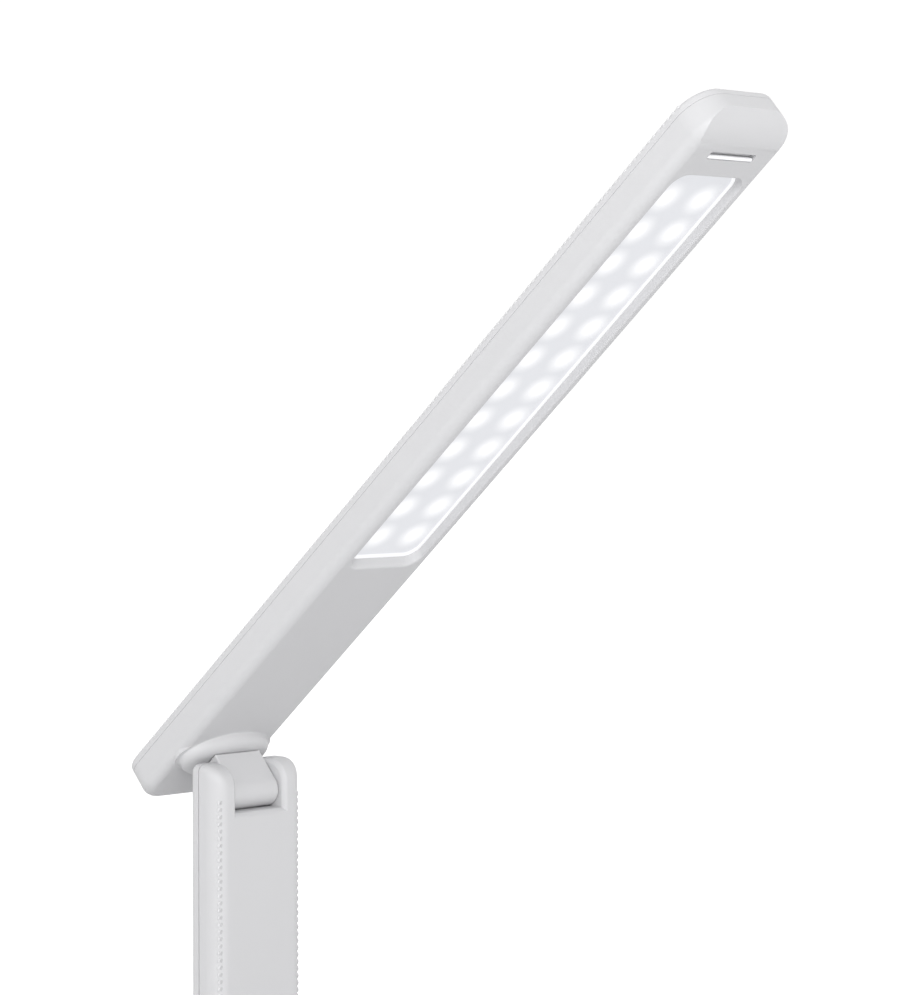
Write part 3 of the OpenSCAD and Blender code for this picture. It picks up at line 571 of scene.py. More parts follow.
def finish(name):
    """The finish of a name, made from the scene's colours when it is first asked for."""
    if name not in FINISHES:
        tones = bpy.context.scene.lamp_colours
        plastic = tuple(tones.plastic)
        makers = {
            # colour, roughness, size and depth of the grain, drift of the colour, clear coat
            "shell": (moulded, plastic, 0.46, 0.22 * MM, 0.02 * MM),
            # Stitches: the plastic made a little lighter, a painted highlight on the raised threads
            "thread": (moulded, shaded(plastic, 1.14), 0.55, 0.15 * MM, 0.03 * MM),
            # The finger slot's strip: the plastic made 1.7 times lighter, a painted highlight on the
            # slot's lip, under a glossy coat
            "gloss": (moulded, shaded(plastic, 1.7), 0.2, 0.3 * MM, 0.01 * MM, 0.01, 0.3),
            # Beside the stem's stitches: the plastic made darker, painted shadow of the threads
            "mark": (moulded, shaded(plastic, 0.82), 0.6, 0.15 * MM, 0.02 * MM),
            "black_plastic": (moulded, (0.03, 0.03, 0.032, 1), 0.4, 0.2 * MM, 0.03 * MM, 0.2),
            "nylon": (moulded, (0.55, 0.55, 0.52, 1), 0.5, 0.3 * MM, 0.02 * MM, 0.05),
            "lead": (moulded, tuple(tones.lead), 0.5, 0.4 * MM, 0.03 * MM, 0.05),
            "package": (moulded, (0.85, 0.8, 0.45, 1), 0.3, 0.5 * MM, 0.02 * MM, 0.1),
            # colour, roughness
            "steel": (plated, tuple(tones.metal), 0.3),
            "dark_steel": (plated, shaded(tones.metal, 0.45), 0.4),
            "brass": (plated, tuple(tones.brass), 0.3),
            # colour
            "board": (lacquered_board, tuple(tones.board)),
            "metal_board": (lacquered_board, (0.62, 0.63, 0.64, 1)),
            "rubber": (ribbed_rubber, tuple(tones.rubber)),
            "panel": (printed_panel, (0.60, 0.61, 0.63, 1)),
            "icon": (printed_panel, (0.10, 0.11, 0.13, 1)),
        }
        maker, *values = makers[name]
        FINISHES[name] = maker(name, *values)
    return FINISHES[name]


# ---- Head ----

def slab(name, low, high, corner, low_edge, high_edge, segments=6):
    """A block with round upright corners and round lower and upper edges."""
    piece = block(name, low, high)
    round_edges(piece, along(2), corner, 12)
    if low_edge:
        round_edges(piece, level(2, low[2]), low_edge, segments)
    if high_edge:
        round_edges(piece, level(2, high[2]), high_edge, segments)
    return piece


def head_slab(name, sizes, low, high, inset):
    """A block with the head's outline in plan, drawn in by inset."""
    inward = Vector((inset, inset, 0))
    piece = block(name, Vector(low) + inward, Vector(high) - inward)
    middle = (low[1] + high[1]) / 2
    round_edges(piece, both(along(2), lambda a, b: a.y < middle), sizes.tip_corner - inset, 14)
    round_edges(piece, both(along(2), lambda a, b: a.y > middle and b.y > middle
                            and abs(a.y - high[1] + inset) < SAME), sizes.corner - inset, 12)
    return piece


def window_slab(name, sizes, grow, low, high):
    """A block as wide and long as the window, grown on all sides."""
    half = sizes.window_width / 2 + grow
    far_end = -sizes.window_start - sizes.window_length - grow
    return slab(name, (-half, far_end, low), (half, grow - sizes.window_start, high),
                sizes.window_corner + grow, 0, 0)


def window_box(sizes, deep, depth, grow=0.0):
    """Half width, far end and near end of the window's wall at a depth below the underside."""
    share = depth / deep
    half = sizes.window_width / 2 - sizes.window_draft * share + grow
    far_end = -sizes.window_start - sizes.window_length + sizes.window_draft * share - grow
    near_end = -sizes.window_start - sizes.window_ramp * share + grow
    return half, far_end, near_end


def sloped_window(name, sizes, deep, grow, low, high, under):
    """A block that fills the window between two heights, with its walls' slopes."""
    half, far_end, near_end = window_box(sizes, deep, min(deep, high - under), grow)
    piece = slab(name, (-half, far_end, low), (half, near_end, high), sizes.window_corner + grow, 0, 0)
    wide, outer_far, outer_near = window_box(sizes, deep, low - under, grow)
    stretch = (outer_near - outer_far) / (near_end - far_end)
    centre = (outer_near - stretch * near_end) / (1 - stretch)
    widen(piece, low, (wide / half, stretch, 1), Vector((0, centre, 0)))
    rest = high - under - deep
    if rest > 0:
        pick_points(piece, high)
        bpy.ops.transform.translate(value=(0, 0, -rest))
        bpy.ops.mesh.select_mode(type="FACE")
        bpy.ops.mesh.extrude_region_move(TRANSFORM_OT_translate={"value": (0, 0, rest)})
        to_object_mode()
    return piece


def widen(piece, height, growth, centre):
    """Moves the points at one height outwards from a centre."""
    pick_points(piece, height)
    bpy.ops.transform.resize(value=growth, center_override=centre)
    to_object_mode()


def slot_sides(sizes):
    """Places of the finger slot's two sides along the head, the tip's first."""
    middle = HOUSING_LOW.y + sizes.slot_inset
    return middle - sizes.slot_width / 2, middle + sizes.slot_width / 2


class LAMP_OT_head_housing(bpy.types.Operator):
    """Adds the head's housing with its light window, finger slot and swivel collar"""
    bl_idname = "lamp.head_housing"
    bl_label = "Head Housing"

    def execute(self, context):
        sizes = context.scene.lamp_head
        under = sizes.underside
        floor = under + sizes.wall
        lens = LENS_LOW.z
        top = HOUSING_HIGH.z
        low, high = HOUSING_LOW, HOUSING_HIGH
        housing = head_slab("head_housing_shell", sizes, (low.x, low.y, under), (high.x, high.y, top), 0)
        round_edges(housing, level(2, under), sizes.lower_edge, 8)
        round_edges(housing, level(2, top), SEAM_EDGE, 4)
        start = low.y + sizes.tip_run
        radius = (sizes.tip_run ** 2 + sizes.tip_rise ** 2) / (2 * sizes.tip_rise)
        pivot = Vector((0, start, under + radius))
        side = 1.5 * high.x
        scoop = block("scoop", (-side, low.y - MM, under - MM), (side, start, under + radius))
        beyond = Vector((2 * side, 0, 0))
        combine(scoop, rod("curve", pivot - beyond, pivot + beyond, radius, 144))
        combine(housing, scoop)

        hollow = head_slab("hollow", sizes, (low.x, low.y + sizes.tip_wall, floor),
                           (high.x, high.y, 2 * top), sizes.wall)
        combine(hollow, window_slab("frame", sizes, sizes.window_frame, floor - MM, lens))
        edge, flare, rim = sizes.collar_edge, sizes.collar_flare, sizes.collar
        bend = [math.radians(a) for a in range(-90, 1, 10)]
        fillet = [math.radians(a) for a in range(180, 89, -9)]
        outline = [(0, low.z)]
        outline += [(rim - edge + edge * math.cos(a), low.z + edge + edge * math.sin(a)) for a in bend]
        rise = under - low.z - edge
        outline += [(rim + flare + flare * math.cos(a), under - rise + rise * math.sin(a))
                    for a in fillet]
        outline += [(rim + flare, under + sizes.lower_edge), (0, under + sizes.lower_edge)]
        collar = turned("collar", outline)
        bpy.ops.transform.resize(value=(sizes.collar_width / rim, 1, 1), center_override=(0, 0, 0))
        apply_place(collar)
        combine(housing, collar, "UNION")
        combine(housing, hollow)
        combine(housing, rod("bore", (0, 0, low.z - MM), (0, 0, floor + MM), sizes.shaft))
        deep = lens - under
        opening = sloped_window("opening", sizes, deep, 0, under - MM, lens + 5 * MM, under)
        combine(housing, opening)
        half = sizes.slot_length / 2
        tip_side, lip = slot_sides(sizes)
        slot = slab("slot", (-half, tip_side, under - MM),
                    (half, lip + sizes.slot_lip, under + sizes.slot_depth), sizes.slot_corner, 0, 0)
        combine(housing, slot)
        half, far_end, near_end = window_box(sizes, deep, 0, MM)

        def on_rim(a, b):
            inner = all(abs(p.x) < half and far_end < p.y < near_end for p in (a, b))
            return inner and level(2, under)(a, b)

        round_edges(housing, on_rim, sizes.window_rim, 4)
        settle(housing, HEAD, "head", finish("shell"), ["head_housing"])
        return {"FINISHED"}


class LAMP_OT_slot_strip(bpy.types.Operator):
    """Adds a strip along the lip of the finger slot, much lighter than the shell as a painted highlight
    """
    bl_idname = "lamp.slot_strip"
    bl_label = "Slot Strip"

    def execute(self, context):
        sizes = context.scene.lamp_head
        radius, lip = sizes.slot_lip / 2, slot_sides(sizes)[1]
        end = Vector((sizes.slot_length / 2 - 0.3 * MM, 0, 0))
        middle = Vector((0, lip + radius, sizes.underside + radius * 0.9))
        strip = rod("slot_strip", middle - end, middle + end, radius, 24)
        settle(strip, HEAD, "head", finish("gloss"))
        return {"FINISHED"}


class LAMP_OT_head_cover(bpy.types.Operator):
    """Adds the head's top cover with its soft edge"""
    bl_idname = "lamp.head_cover"
    bl_label = "Head Cover"

    def execute(self, context):
        sizes = context.scene.lamp_head
        low, high = COVER_LOW, COVER_HIGH
        part = HOUSING_HIGH.z
        cover = head_slab("head_top_cover_shell", sizes, (low.x, low.y, part), high, 0)
        round_edges(cover, level(2, part), SEAM_EDGE, 4)
        round_edges(cover, level(2, high.z), sizes.upper_edge, 7)
        inset = sizes.wall + FIT
        combine(cover, head_slab("lip", sizes, low, (high.x, high.y, part + MM), inset), "UNION")
        hollow = head_slab("hollow", sizes, (low.x, low.y, low.z - MM),
                           (high.x, high.y, high.z - sizes.roof), inset + sizes.lip_wall)
        combine(cover, hollow)
        settle(cover, HEAD, "head", finish("shell"), ["head_top_cover"])
        return {"FINISHED"}


def stitch_row(name, first, step, count, length, width, slant, out, height=0.8):
    """A row of threads from a first place; out is the direction in which the surface faces."""
    deselect_all()
    bpy.ops.mesh.primitive_uv_sphere_add(segments=8, ring_count=6, radius=0.5)
    thread = bpy.context.object
    thread.name = name
    run = Vector(step).normalized()
    out = Vector(out).normalized()
    side = out.cross(run)
    heading = run * math.cos(slant) + side * math.sin(slant)
    across = out.cross(heading)
    turn = Matrix((heading * length, across * width, out * width * height)).transposed().to_4x4()
    thread.matrix_world = Matrix.Translation(first) @ turn
    apply_place(thread)
    row = thread.modifiers.new("row", "ARRAY")
    row.count = count
    row.use_relative_offset = False
    row.use_constant_offset = True
    row.constant_offset_displace = step
    bpy.ops.object.modifier_apply(modifier=row.name)
    return thread


class LAMP_OT_head_stitching(bpy.types.Operator):
    """Adds the rows of stitches along both long edges of the head's cover"""
    bl_idname = "lamp.head_stitching"
    bl_label = "Head Stitching"

    def execute(self, context):
        sizes, stitch = context.scene.lamp_head, context.scene.lamp_stitches
        edge, corner, high = sizes.upper_edge, sizes.corner, COVER_HIGH
        start, end = COVER_LOW.y + corner, COVER_HIGH.y - corner
        count = int((end - start) / stitch.pitch)
        rows = []
        for side in (-1, 1):
            out = Vector((side * math.sin(stitch.turn), 0, math.cos(stitch.turn)))
            middle = Vector((side * (high.x - edge), start, high.z - edge))
            lift = edge + stitch.head_rise - stitch.width * 0.4
            rows.append(stitch_row("stitches", middle + out * lift, (0, stitch.pitch, 0), count,
                                   stitch.reach, stitch.width, side * stitch.slant, out))
        rows = join("head_stitches", rows)
        settle(rows, HEAD, "head", finish("thread"), bend=60)
        return {"FINISHED"}


class LAMP_OT_lens(bpy.types.Operator):
    """Adds the milky lens of the light window, with its sloped border"""
    bl_idname = "lamp.lens"
    bl_label = "Lens"

    def execute(self, context):
        sizes = context.scene.lamp_head
        low, high = LENS_LOW, LENS_HIGH
        lens = slab("lens_sheet", low, high, sizes.window_corner + sizes.lens_ledge, 0, 0.1 * MM, 1)
        under = sizes.underside
        deep = low.z - under
        gap, crest = -sizes.lens_gap, -sizes.lens_gap - sizes.lens_crest
        rim = sloped_window("rim", sizes, deep, gap, low.z - sizes.lens_rise, low.z + 0.3 * MM, under)
        bed = sloped_window("bed", sizes, deep, crest, low.z - 2 * MM, low.z, under)
        half, far_end, near_end = window_box(sizes, deep, deep, crest)
        inset = sizes.lens_rim - sizes.lens_crest
        middle = Vector((0, (far_end + near_end) / 2, 0))
        widen(bed, low.z, (1 - inset / half, 1 - 2 * inset / (near_end - far_end), 1), middle)
        combine(rim, bed)
        combine(lens, rim, "UNION")
        lights = -sizes.window_start - sizes.window_length / 2
        tones = context.scene.lamp_colours
        glow = lit_lens("lens", tuple(tones.light), tones.glow, sizes, lights, low.z - 0.05 * MM)
        settle(lens, HEAD, "head", glow, ["diffuser"], bend=25)
        return {"FINISHED"}


# ---- Neck and stem ----

class LAMP_OT_neck(bpy.types.Operator):
    """Adds the neck with its round barrel, which turns between the stem's cheeks"""
    bl_idname = "lamp.neck"
    bl_label = "Neck"

    def execute(self, context):
        sizes = context.scene.lamp_neck
        radius = sizes.barrel
        low = Vector((NECK_LOW.x, -radius, -radius))
        high = Vector((NECK_HIGH.x, radius, HOUSING_LOW.z - sizes.gap))
        neck = block("neck_block", low, high)
        round_edges(neck, both(along(0), level(2, low.z)), radius, 16)
        round_edges(neck, lambda a, b: a.x * b.x > 0 and abs(a.x - b.x) < SAME, sizes.edge, 4)
        round_edges(neck, both(along(0), level(2, high.z)), sizes.edge, 3)
        combine(neck, rod("pin_bore", (low.x - MM, 0, 0), (high.x + MM, 0, 0), sizes.pin_bore, 32))
        combine(neck, rod("shaft_bore", (0, 0, high.z - 6 * MM), (0, 0, high.z + MM),
                          sizes.shaft_bore, 32))
        combine(neck, rod("lead_bore", (0, 0, 0), (0, 0, high.z + MM), sizes.lead_bore, 24))
        settle(neck, HEAD, "neck", finish("shell"), ["neck"])
        return {"FINISHED"}


def round_unevenly(piece, test, share, radius, segments=10):
    """Rounds the edges that pass the test, each by its share of the radius."""
    take(piece)
    weights = piece.data.attributes.new("bevel_weight_edge", "FLOAT", "EDGE")
    points = piece.data.vertices
    for edge in piece.data.edges:
        a, b = (points[i].co for i in edge.vertices)
        weights.data[edge.index].value = share((a + b) / 2) if test(a, b) else 0.0
    step = piece.modifiers.new("round", "BEVEL")
    step.limit_method = "WEIGHT"
    step.width = radius
    step.segments = segments
    step.use_clamp_overlap = False
    bpy.ops.object.modifier_apply(modifier=step.name)
    piece.data.attributes.remove(piece.data.attributes["bevel_weight_edge"])


def column(name, bottom, top, cheek_front, inset):
    """The stem's outline about a hinge axis, drawn in by inset, with round cheek tops."""
    sizes = bpy.context.scene.lamp_stem
    side = SHELL_HIGH.x - inset
    front, back = SHELL_LOW.y + inset, REAR_HIGH.y - inset
    post = block(name, (-side, front, bottom), (side, back, top))
    round_edges(post, both(along(0), both(level(1, front), level(2, top))), cheek_front - inset, 14)

    def outline(a, b):
        beside = all(abs(abs(p.x) - side) < NEAR for p in (a, b)) and a.x * b.x > 0
        rear = level(1, back)(a, b)
        foot = level(2, bottom)(a, b)
        return beside and not rear and not foot

    bend = top - cheek_front + inset
    upper = (sizes.cheek_corner - inset) / (sizes.front_corner - inset)

    def share(middle):
        rise = min(1.0, max(0.0, (middle.z - bend) / (top - bend)))
        return 1 + (upper - 1) * rise

    round_unevenly(post, outline, share, sizes.front_corner - inset)
    if sizes.rear_corner > inset:
        round_edges(post, lambda a, b: level(1, back)(a, b) and not level(2, bottom)(a, b),
                    sizes.rear_corner - inset, 4)
    return post


def pocket_block(sizes, grow, bottom, reach=0.1):
    """The slot between the cheeks, grown sideways and downwards; it reaches beyond the column."""
    half = sizes.pocket + grow
    return block("pocket", (-half, -reach, bottom - grow), (half, reach, reach))


def pocket_mouth(sizes, bottom, top, cheek_front):
    """Test for the pocket's edges on the outer surface of the column."""
    front = SHELL_LOW.y

    def outside(p):
        below = p.z < top - cheek_front + NEAR and abs(p.y - front) < NEAR
        bend = math.hypot(p.y - front - cheek_front, p.z - top + cheek_front)
        on_bend = abs(bend - cheek_front) < 0.02 * MM and p.y < front + cheek_front + NEAR
        return below or on_bend or abs(p.z - top) < NEAR

    def test(a, b):
        wall = all(abs(abs(p.x) - sizes.pocket) < NEAR and p.z > bottom - NEAR for p in (a, b))
        sill = level(2, bottom)(a, b) and max(abs(a.x), abs(b.x)) < sizes.pocket + NEAR
        return (wall or sill) and outside(a) and outside(b) and a.x * b.x > -1
    return test


class LAMP_OT_stem(bpy.types.Operator):
    """Adds the stem's front shell and rear cover, with the pocket for the neck"""
    bl_idname = "lamp.stem"
    bl_label = "Stem Shells"

    def execute(self, context):
        sizes = context.scene.lamp_stem
        bottom, top, part = SHELL_LOW.z, SHELL_HIGH.z, SHELL_HIGH.y
        sill = -sizes.pocket_depth
        wall = sizes.wall
        halves = {"stem_front": (-1, part), "stem_rear": (part, 1)}
        for name, (near, far) in halves.items():
            shell = column(name, bottom, top, sizes.cheek_front, 0)
            hollow = column("hollow", bottom - MM, top - wall, sizes.cheek_front, wall)
            combine(hollow, pocket_block(sizes, sizes.pocket_wall, sill))
            combine(shell, hollow)
            combine(shell, pocket_block(sizes, 0, sill))
            pin = sizes.pocket + sizes.pocket_wall + 0.1 * MM
            combine(shell, rod("pin_hole", (-pin, 0, 0), (pin, 0, 0), sizes.tilt_bore, 32))
            if name == "stem_rear":
                for spot in FOOT_SCREWS:
                    reach = Vector((0, 10 * MM, 0))
                    combine(shell, rod("screw_hole", spot - reach, spot + reach, sizes.screw_bore, 24))
                    combine(shell, rod("screw_seat", spot, spot + reach, sizes.screw_seat, 32))
            round_edges(shell, pocket_mouth(sizes, sill, top, sizes.cheek_front), sizes.pocket_edge, 4,
                        clamp=False, profile=0.34)
            combine(shell, block("half", (-1, near, -1), (1, far, 1)), "INTERSECT")
            groove = block("groove", (-1, part - sizes.seam / 2, -1), (1, part + sizes.seam / 2, 1))
            combine(groove, column("core", bottom - MM, top - sizes.seam_depth, sizes.cheek_front,
                                   sizes.seam_depth))
            combine(shell, groove)
            node = "stem_front_shell" if name == "stem_front" else "stem_rear_cover"
            settle(shell, STEM, "stem", finish("shell"), [node])
        return {"FINISHED"}


class LAMP_OT_stem_stitching(bpy.types.Operator):
    """Adds the rows of stitches down both front corners of the stem, and beside each row a darker row of
    painted shadow
    """
    bl_idname = "lamp.stem_stitching"
    bl_label = "Stem Stitching"

    def execute(self, context):
        corner, stitch = context.scene.lamp_stem.front_corner, context.scene.lamp_stitches
        start = SHELL_LOW.z + stitch.start
        count = int(-start / stitch.pitch) + 1

        def both_rows(name, turn, lift, reach, width, height, tone):
            rows = []
            for side in (-1, 1):
                out = Vector((side * math.cos(turn), -math.sin(turn), 0))
                middle = Vector((side * (SHELL_HIGH.x - corner), SHELL_LOW.y + corner, start))
                rows.append(stitch_row(name, middle + out * (corner + lift), (0, 0, stitch.pitch), count,
                                       reach, width, side * stitch.slant, out, height))
            rows = join(name, rows)
            settle(rows, STEM, "stem", finish(tone), bend=60)

        both_rows("stem_stitches", stitch.stem_turn, stitch.rise - stitch.width * 0.4,
                  stitch.reach, stitch.width, 0.8, "thread")
        # The darker rows beside the stitches are painted shadow of the threads
        beside = (stitch.width + stitch.stitch_shadow_width) * 0.5 / corner
        both_rows("stem_stitch_painted_shadows", stitch.stem_turn + beside, stitch.rise * 0.4,
                  stitch.reach * 0.85, stitch.stitch_shadow_width, 0.4, "mark")
        return {"FINISHED"}


class LAMP_OT_fork(bpy.types.Operator):
    """Adds the upright fork in which the stem folds"""
    bl_idname = "lamp.fork"
    bl_label = "Upright Fork"

    def execute(self, context):
        sizes = context.scene.lamp_stem
        bottom, top = FORK_LOW.z, FORK_HIGH.z
        fork = column("fork_column", bottom, top, top, 0)
        sill = -sizes.pocket_depth
        combine(fork, pocket_block(sizes, 0, sill))
        round_edges(fork, pocket_mouth(sizes, sill, top, top), sizes.pocket_edge * 0.5, 4, clamp=False)
        flange = slab("flange", (FORK_LOW.x, FORK_LOW.y, bottom),
                      (FORK_HIGH.x, FORK_HIGH.y, bottom + sizes.flange), sizes.flange, 0, 0)
        combine(fork, flange, "UNION")
        ear = sizes.pocket + sizes.ear
        combine(fork, rod("pin_hole", (-ear - MM, 0, 0), (ear + MM, 0, 0), sizes.fold_bore, 32))
        for side in (-ear, ear):
            combine(fork, rod("cap_seat", (side, 0, 0), (2 * side, 0, 0), sizes.cap_seat))
        settle(fork, FORK, "base", finish("shell"), ["upright_fork"])
        return {"FINISHED"}


# ---- Base ----

class LAMP_OT_base_cover(bpy.types.Operator):
    """Adds the base's top cover, with its recess for the touch panel"""
    bl_idname = "lamp.base_cover"
    bl_label = "Base Cover"

    def execute(self, context):
        sizes, stem = context.scene.lamp_base, context.scene.lamp_stem
        low, high = TOP_LOW, TOP_HIGH
        wall = sizes.wall
        cover = slab("base_shell", (low.x, low.y, TRAY_HIGH.z - sizes.lap), high, sizes.corner,
                     SEAM_EDGE, sizes.upper_edge, 8)
        hollow = slab("hollow", (low.x + wall, low.y + wall, low.z - MM),
                      (high.x - wall, high.y - wall, high.z - wall), sizes.corner - wall, 0, 0)
        combine(cover, hollow)
        recess = slab("recess", (PANEL_LOW.x - FIT, PANEL_LOW.y - FIT, PANEL_LOW.z),
                      (PANEL_HIGH.x + FIT, PANEL_HIGH.y + FIT, high.z + MM), sizes.panel_corner, 0, 0)
        combine(cover, recess)
        front, back = SHELL_LOW.y - FIT, REAR_HIGH.y + FIT
        slot = block("fork_slot", (SHELL_LOW.x - FIT, front, 0), (SHELL_HIGH.x + FIT, back, 2 * high.z))
        round_edges(slot, both(along(2), level(1, front)), stem.front_corner + FIT, 10)
        round_edges(slot, both(along(2), level(1, back)), stem.rear_corner + FIT, 4)
        slot.matrix_world = Matrix.Translation((0, FOLD_AXIS.y, 0))
        apply_place(slot)
        combine(cover, slot)
        middle = (INLET_LOW.x + INLET_HIGH.x) / 2
        height = (INLET_LOW.z + INLET_HIGH.z) / 2
        through = Vector((0, 8 * MM, 0))
        inlet = Vector((middle, high.y, height))
        combine(cover, rod("inlet_hole", inlet - through, inlet + through, sizes.inlet))

        def on_recess(a, b):
            inner = all(PANEL_LOW[i] - MM < p[i] < PANEL_HIGH[i] + MM for p in (a, b) for i in (0, 1))
            return inner and level(2, high.z)(a, b)

        round_edges(cover, on_recess, SEAM_EDGE, 2)
        settle(cover, BASE, "base", finish("shell"), ["base_top_cover"])
        return {"FINISHED"}


class LAMP_OT_touch_panel(bpy.types.Operator):
    """Adds the touch panel in the base, with plain icons for power, brightness and tone"""
    bl_idname = "lamp.touch_panel"
    bl_label = "Touch Panel"

    def execute(self, context):
        sizes = context.scene.lamp_base
        low, high = PANEL_LOW, PANEL_HIGH
        plate = slab("touch_plate", low, high, sizes.panel_corner, 0, 0.2 * MM, 2)
        settle(plate, BASE, "base", finish("panel"), ["touch_panel"])
        size, row = sizes.icon, (low.y + high.y) / 2
        stroke, ink = sizes.stroke, sizes.ink
        under, face = high.z - ink, high.z + ink
        marks = []

        def bar(x, y, wide, deep):
            marks.append(slab("bar", (x - wide, y - deep, under), (x + wide, y + deep, face),
                              min(wide, deep) * 0.9, 0, 0))

        def round_mark(x, outline):
            mark = turned("round_mark", outline, 48)
            mark.location = (x, row, 0)
            marks.append(apply_place(mark))
            return mark

        def ring(x, outer):
            inner = outer - stroke
            return round_mark(x, [(inner, under), (outer, under), (outer, face), (inner, face),
                                  (inner, under)])

        less, sun, power, tone, more = (step * sizes.icon_pitch for step in (-2, -1.1, 0, 1.1, 2))
        bar(less, row, size * 0.7, stroke / 2)
        bar(more, row, size * 0.7, stroke / 2)
        bar(more, row, stroke / 2, size * 0.7)
        gap = size * 0.35
        combine(ring(power, size), block("gap", (power - gap, row, high.z - MM),
                                         (power + gap, row + 2 * size, high.z + MM)))
        bar(power, row + size * 0.6, stroke / 2, size * 0.5)
        ring(tone, size * 0.8)
        reach = size * 0.8 - stroke * 0.5
        lower = high.z + ink * 0.8
        half = round_mark(tone, [(0, under), (reach, under), (reach, lower), (0, lower)])
        combine(half, block("gap", (tone, row - size, 0), (tone + size, row + size, 1)))
        ring(sun, size * 0.4)
        for step in range(8):
            ray = block("ray", (size * 0.6, -stroke / 2, under), (size * 0.95, stroke / 2, face))
            ray.matrix_world = (Matrix.Translation((sun, row, 0))
                                @ Matrix.Rotation(step * math.tau / 8, 4, "Z"))
            marks.append(apply_place(ray))
        icons = join("touch_icons", marks)
        settle(icons, BASE, "base", finish("icon"), bend=0)
        return {"FINISHED"}


# Nodes that keep their own shape, by finish
NODE_FINISHES = {
    "metal_board": ["led_board"],
    "package": ["leds"],
    "steel": ["led_board_screws", "swivel_washer", "swivel_shaft", "tilt_pin", "tilt_bracket",
              "bracket_screws", "stem_foot", "stem_screws", "fold_pin", "fork_screws", "fork_caps",
              "base_screws"],
    "dark_steel": ["swivel_spring_washer", "counterweight"],
    "brass": ["swivel_nut", "tilt_nut", "fold_nut"],
    "nylon": ["thrust_washer", "tilt_washers", "fold_washers"],
    "lead": ["head_lead", "neck_lead", "stem_lead", "power_lead", "base_lead"],
    "board": ["control_board", "touch_board"],
    "black_plastic": ["board_parts", "power_inlet"],
    "rubber": ["non_slip_pad"],
    "shell": ["base_bottom_tray"],
}


class LAMP_OT_inner_finishes(bpy.types.Operator):
    """Gives every node that keeps its own shape its finish"""
    bl_idname = "lamp.inner_finishes"
    bl_label = "Inner Finishes"

    def execute(self, context):
        for name, nodes in NODE_FINISHES.items():
            for node in nodes:
                piece = frame["nodes"][node]
                for slot in piece.material_slots:
                    slot.material = finish(name)
        return {"FINISHED"}


# ---- Stage ----

def soft_light(name, place, target, size, power):
    """A large square light that faces a target."""
    bpy.ops.object.light_add(type="AREA", location=place)
    light = bpy.context.object
    light.name = name
    light.rotation_euler = (Vector(target) - Vector(place)).to_track_quat("-Z", "Y").to_euler()
    light.data.shape = "SQUARE"
    light.data.size = size
    light.data.energy = power


class LAMP_OT_stage(bpy.types.Operator):
    """Adds the plain pale floor, the soft studio light and the camera"""
    bl_idname = "lamp.stage"
    bl_label = "Stage"

    def execute(self, context):
        deselect_all()
        bpy.ops.mesh.primitive_plane_add(size=300, location=(0, 0, 0))
        floor = bpy.context.object
        floor.name = "floor"
        surface = Graph(bpy.data.materials.new("floor"))
        reach = surface.add("ShaderNodeVectorMath", {0: surface.coordinates()}, operation="LENGTH")
        surface.feed(surface.shader, {
            "Base Color": surface.blend(surface.noise(3.0), (0.72, 0.72, 0.725, 1),
                                        (0.74, 0.74, 0.745, 1)),
            "Emission Color": (1, 1, 1, 1),
            "Emission Strength": surface.between(reach["Value"], 0.0, 0.6, 0.5, 1.5, "SMOOTHSTEP"),
            "Roughness": 0.9,
            "Specular IOR Level": 0.1,
        })
        floor.data.materials.append(surface.owner)

        lights = context.scene.lamp_lights
        studio = Graph(bpy.data.worlds.new("studio"), "Background")
        context.scene.world = studio.owner
        view = studio.add("ShaderNodeTexCoord", {})["Generated"]
        facing = studio.add("ShaderNodeVectorMath", {0: view, 1: lights.lit_side},
                            operation="DOT_PRODUCT")["Value"]
        studio.feed(studio.shader, {
            "Color": (1, 1, 1, 1),
            "Strength": studio.between(facing, lights.dim, lights.lit, -0.9, 0.85, "SMOOTHSTEP"),
        })

        head = TILT_AXIS + Vector((0, -0.1, 0.1))
        soft_light("key", (-1.2, -1.6, 1.3), head, lights.size, lights.key)
        soft_light("fill", (-1.7, -0.3, 0.9), head, lights.size, lights.fill)

        shot = context.scene.lamp_camera
        bpy.ops.object.camera_add(location=TILT_AXIS + Vector(shot.place),
                                  rotation=Euler((math.pi / 2 - shot.drop, 0, -shot.turn)))
        camera = bpy.context.object
        camera.name = "camera"
        camera.data.lens = shot.lens
        camera.data.sensor_width = 36
        camera.data.clip_end = 200
        context.scene.camera = camera
        context.scene.view_settings.view_transform = "Standard"
        return {"FINISHED"}


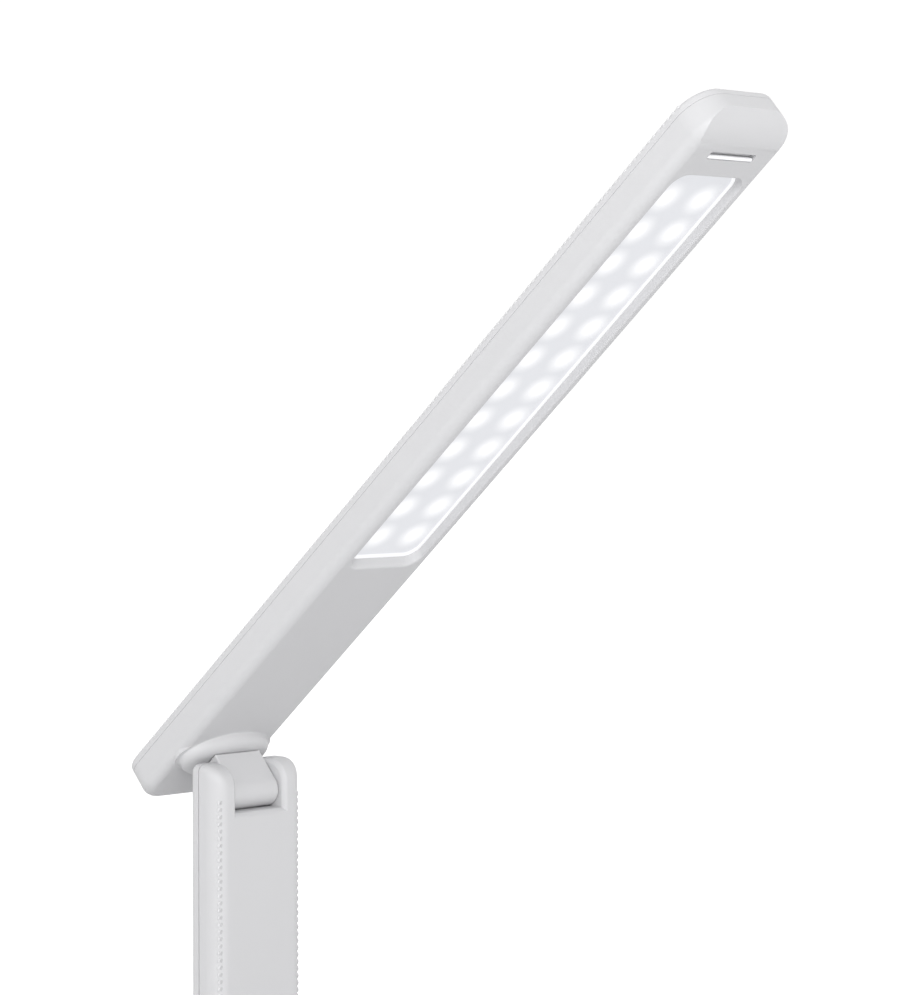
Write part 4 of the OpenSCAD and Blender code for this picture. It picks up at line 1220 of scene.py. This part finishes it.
class LAMP_PT_pieces(bpy.types.Panel):
    """Lists the lamp's pieces"""
    bl_idname = "LAMP_PT_pieces"
    bl_label = "Folding Desk Lamp"
    bl_space_type = "VIEW_3D"
    bl_region_type = "UI"
    bl_category = "Desk Lamp"

    def draw(self, context):
        for operator in OPERATORS:
            self.layout.operator(operator.bl_idname)


GROUPS = {
    "lamp_head": LampHeadSizes,
    "lamp_neck": LampNeckSizes,
    "lamp_stem": LampStemSizes,
    "lamp_stitches": LampStitchSizes,
    "lamp_base": LampBaseSizes,
    "lamp_colours": LampColours,
    "lamp_camera": LampCamera,
    "lamp_lights": LampLights,
}
OPERATORS = [LAMP_OT_stage, LAMP_OT_head_housing, LAMP_OT_slot_strip, LAMP_OT_head_cover,
             LAMP_OT_head_stitching, LAMP_OT_lens, LAMP_OT_neck, LAMP_OT_stem,
             LAMP_OT_stem_stitching, LAMP_OT_fork, LAMP_OT_base_cover, LAMP_OT_touch_panel,
             LAMP_OT_inner_finishes]


def register():
    for group in GROUPS.values():
        bpy.utils.register_class(group)
    for name, group in GROUPS.items():
        setattr(bpy.types.Scene, name, PointerProperty(type=group))
    for operator in OPERATORS:
        bpy.utils.register_class(operator)
    bpy.utils.register_class(LAMP_PT_pieces)


def unregister():
    bpy.utils.unregister_class(LAMP_PT_pieces)
    for operator in reversed(OPERATORS):
        bpy.utils.unregister_class(operator)
    for name in GROUPS:
        delattr(bpy.types.Scene, name)
    for group in reversed(GROUPS.values()):
        bpy.utils.unregister_class(group)


def main():
    register()
    bpy.ops.lamp.stage()
    bpy.ops.lamp.head_housing()
    bpy.ops.lamp.slot_strip()
    bpy.ops.lamp.head_cover()
    bpy.ops.lamp.head_stitching()
    bpy.ops.lamp.lens()
    bpy.ops.lamp.neck()
    bpy.ops.lamp.stem()
    bpy.ops.lamp.stem_stitching()
    bpy.ops.lamp.fork()
    bpy.ops.lamp.base_cover()
    bpy.ops.lamp.touch_panel()
    bpy.ops.lamp.inner_finishes()


if __name__ == "__main__":
    main()
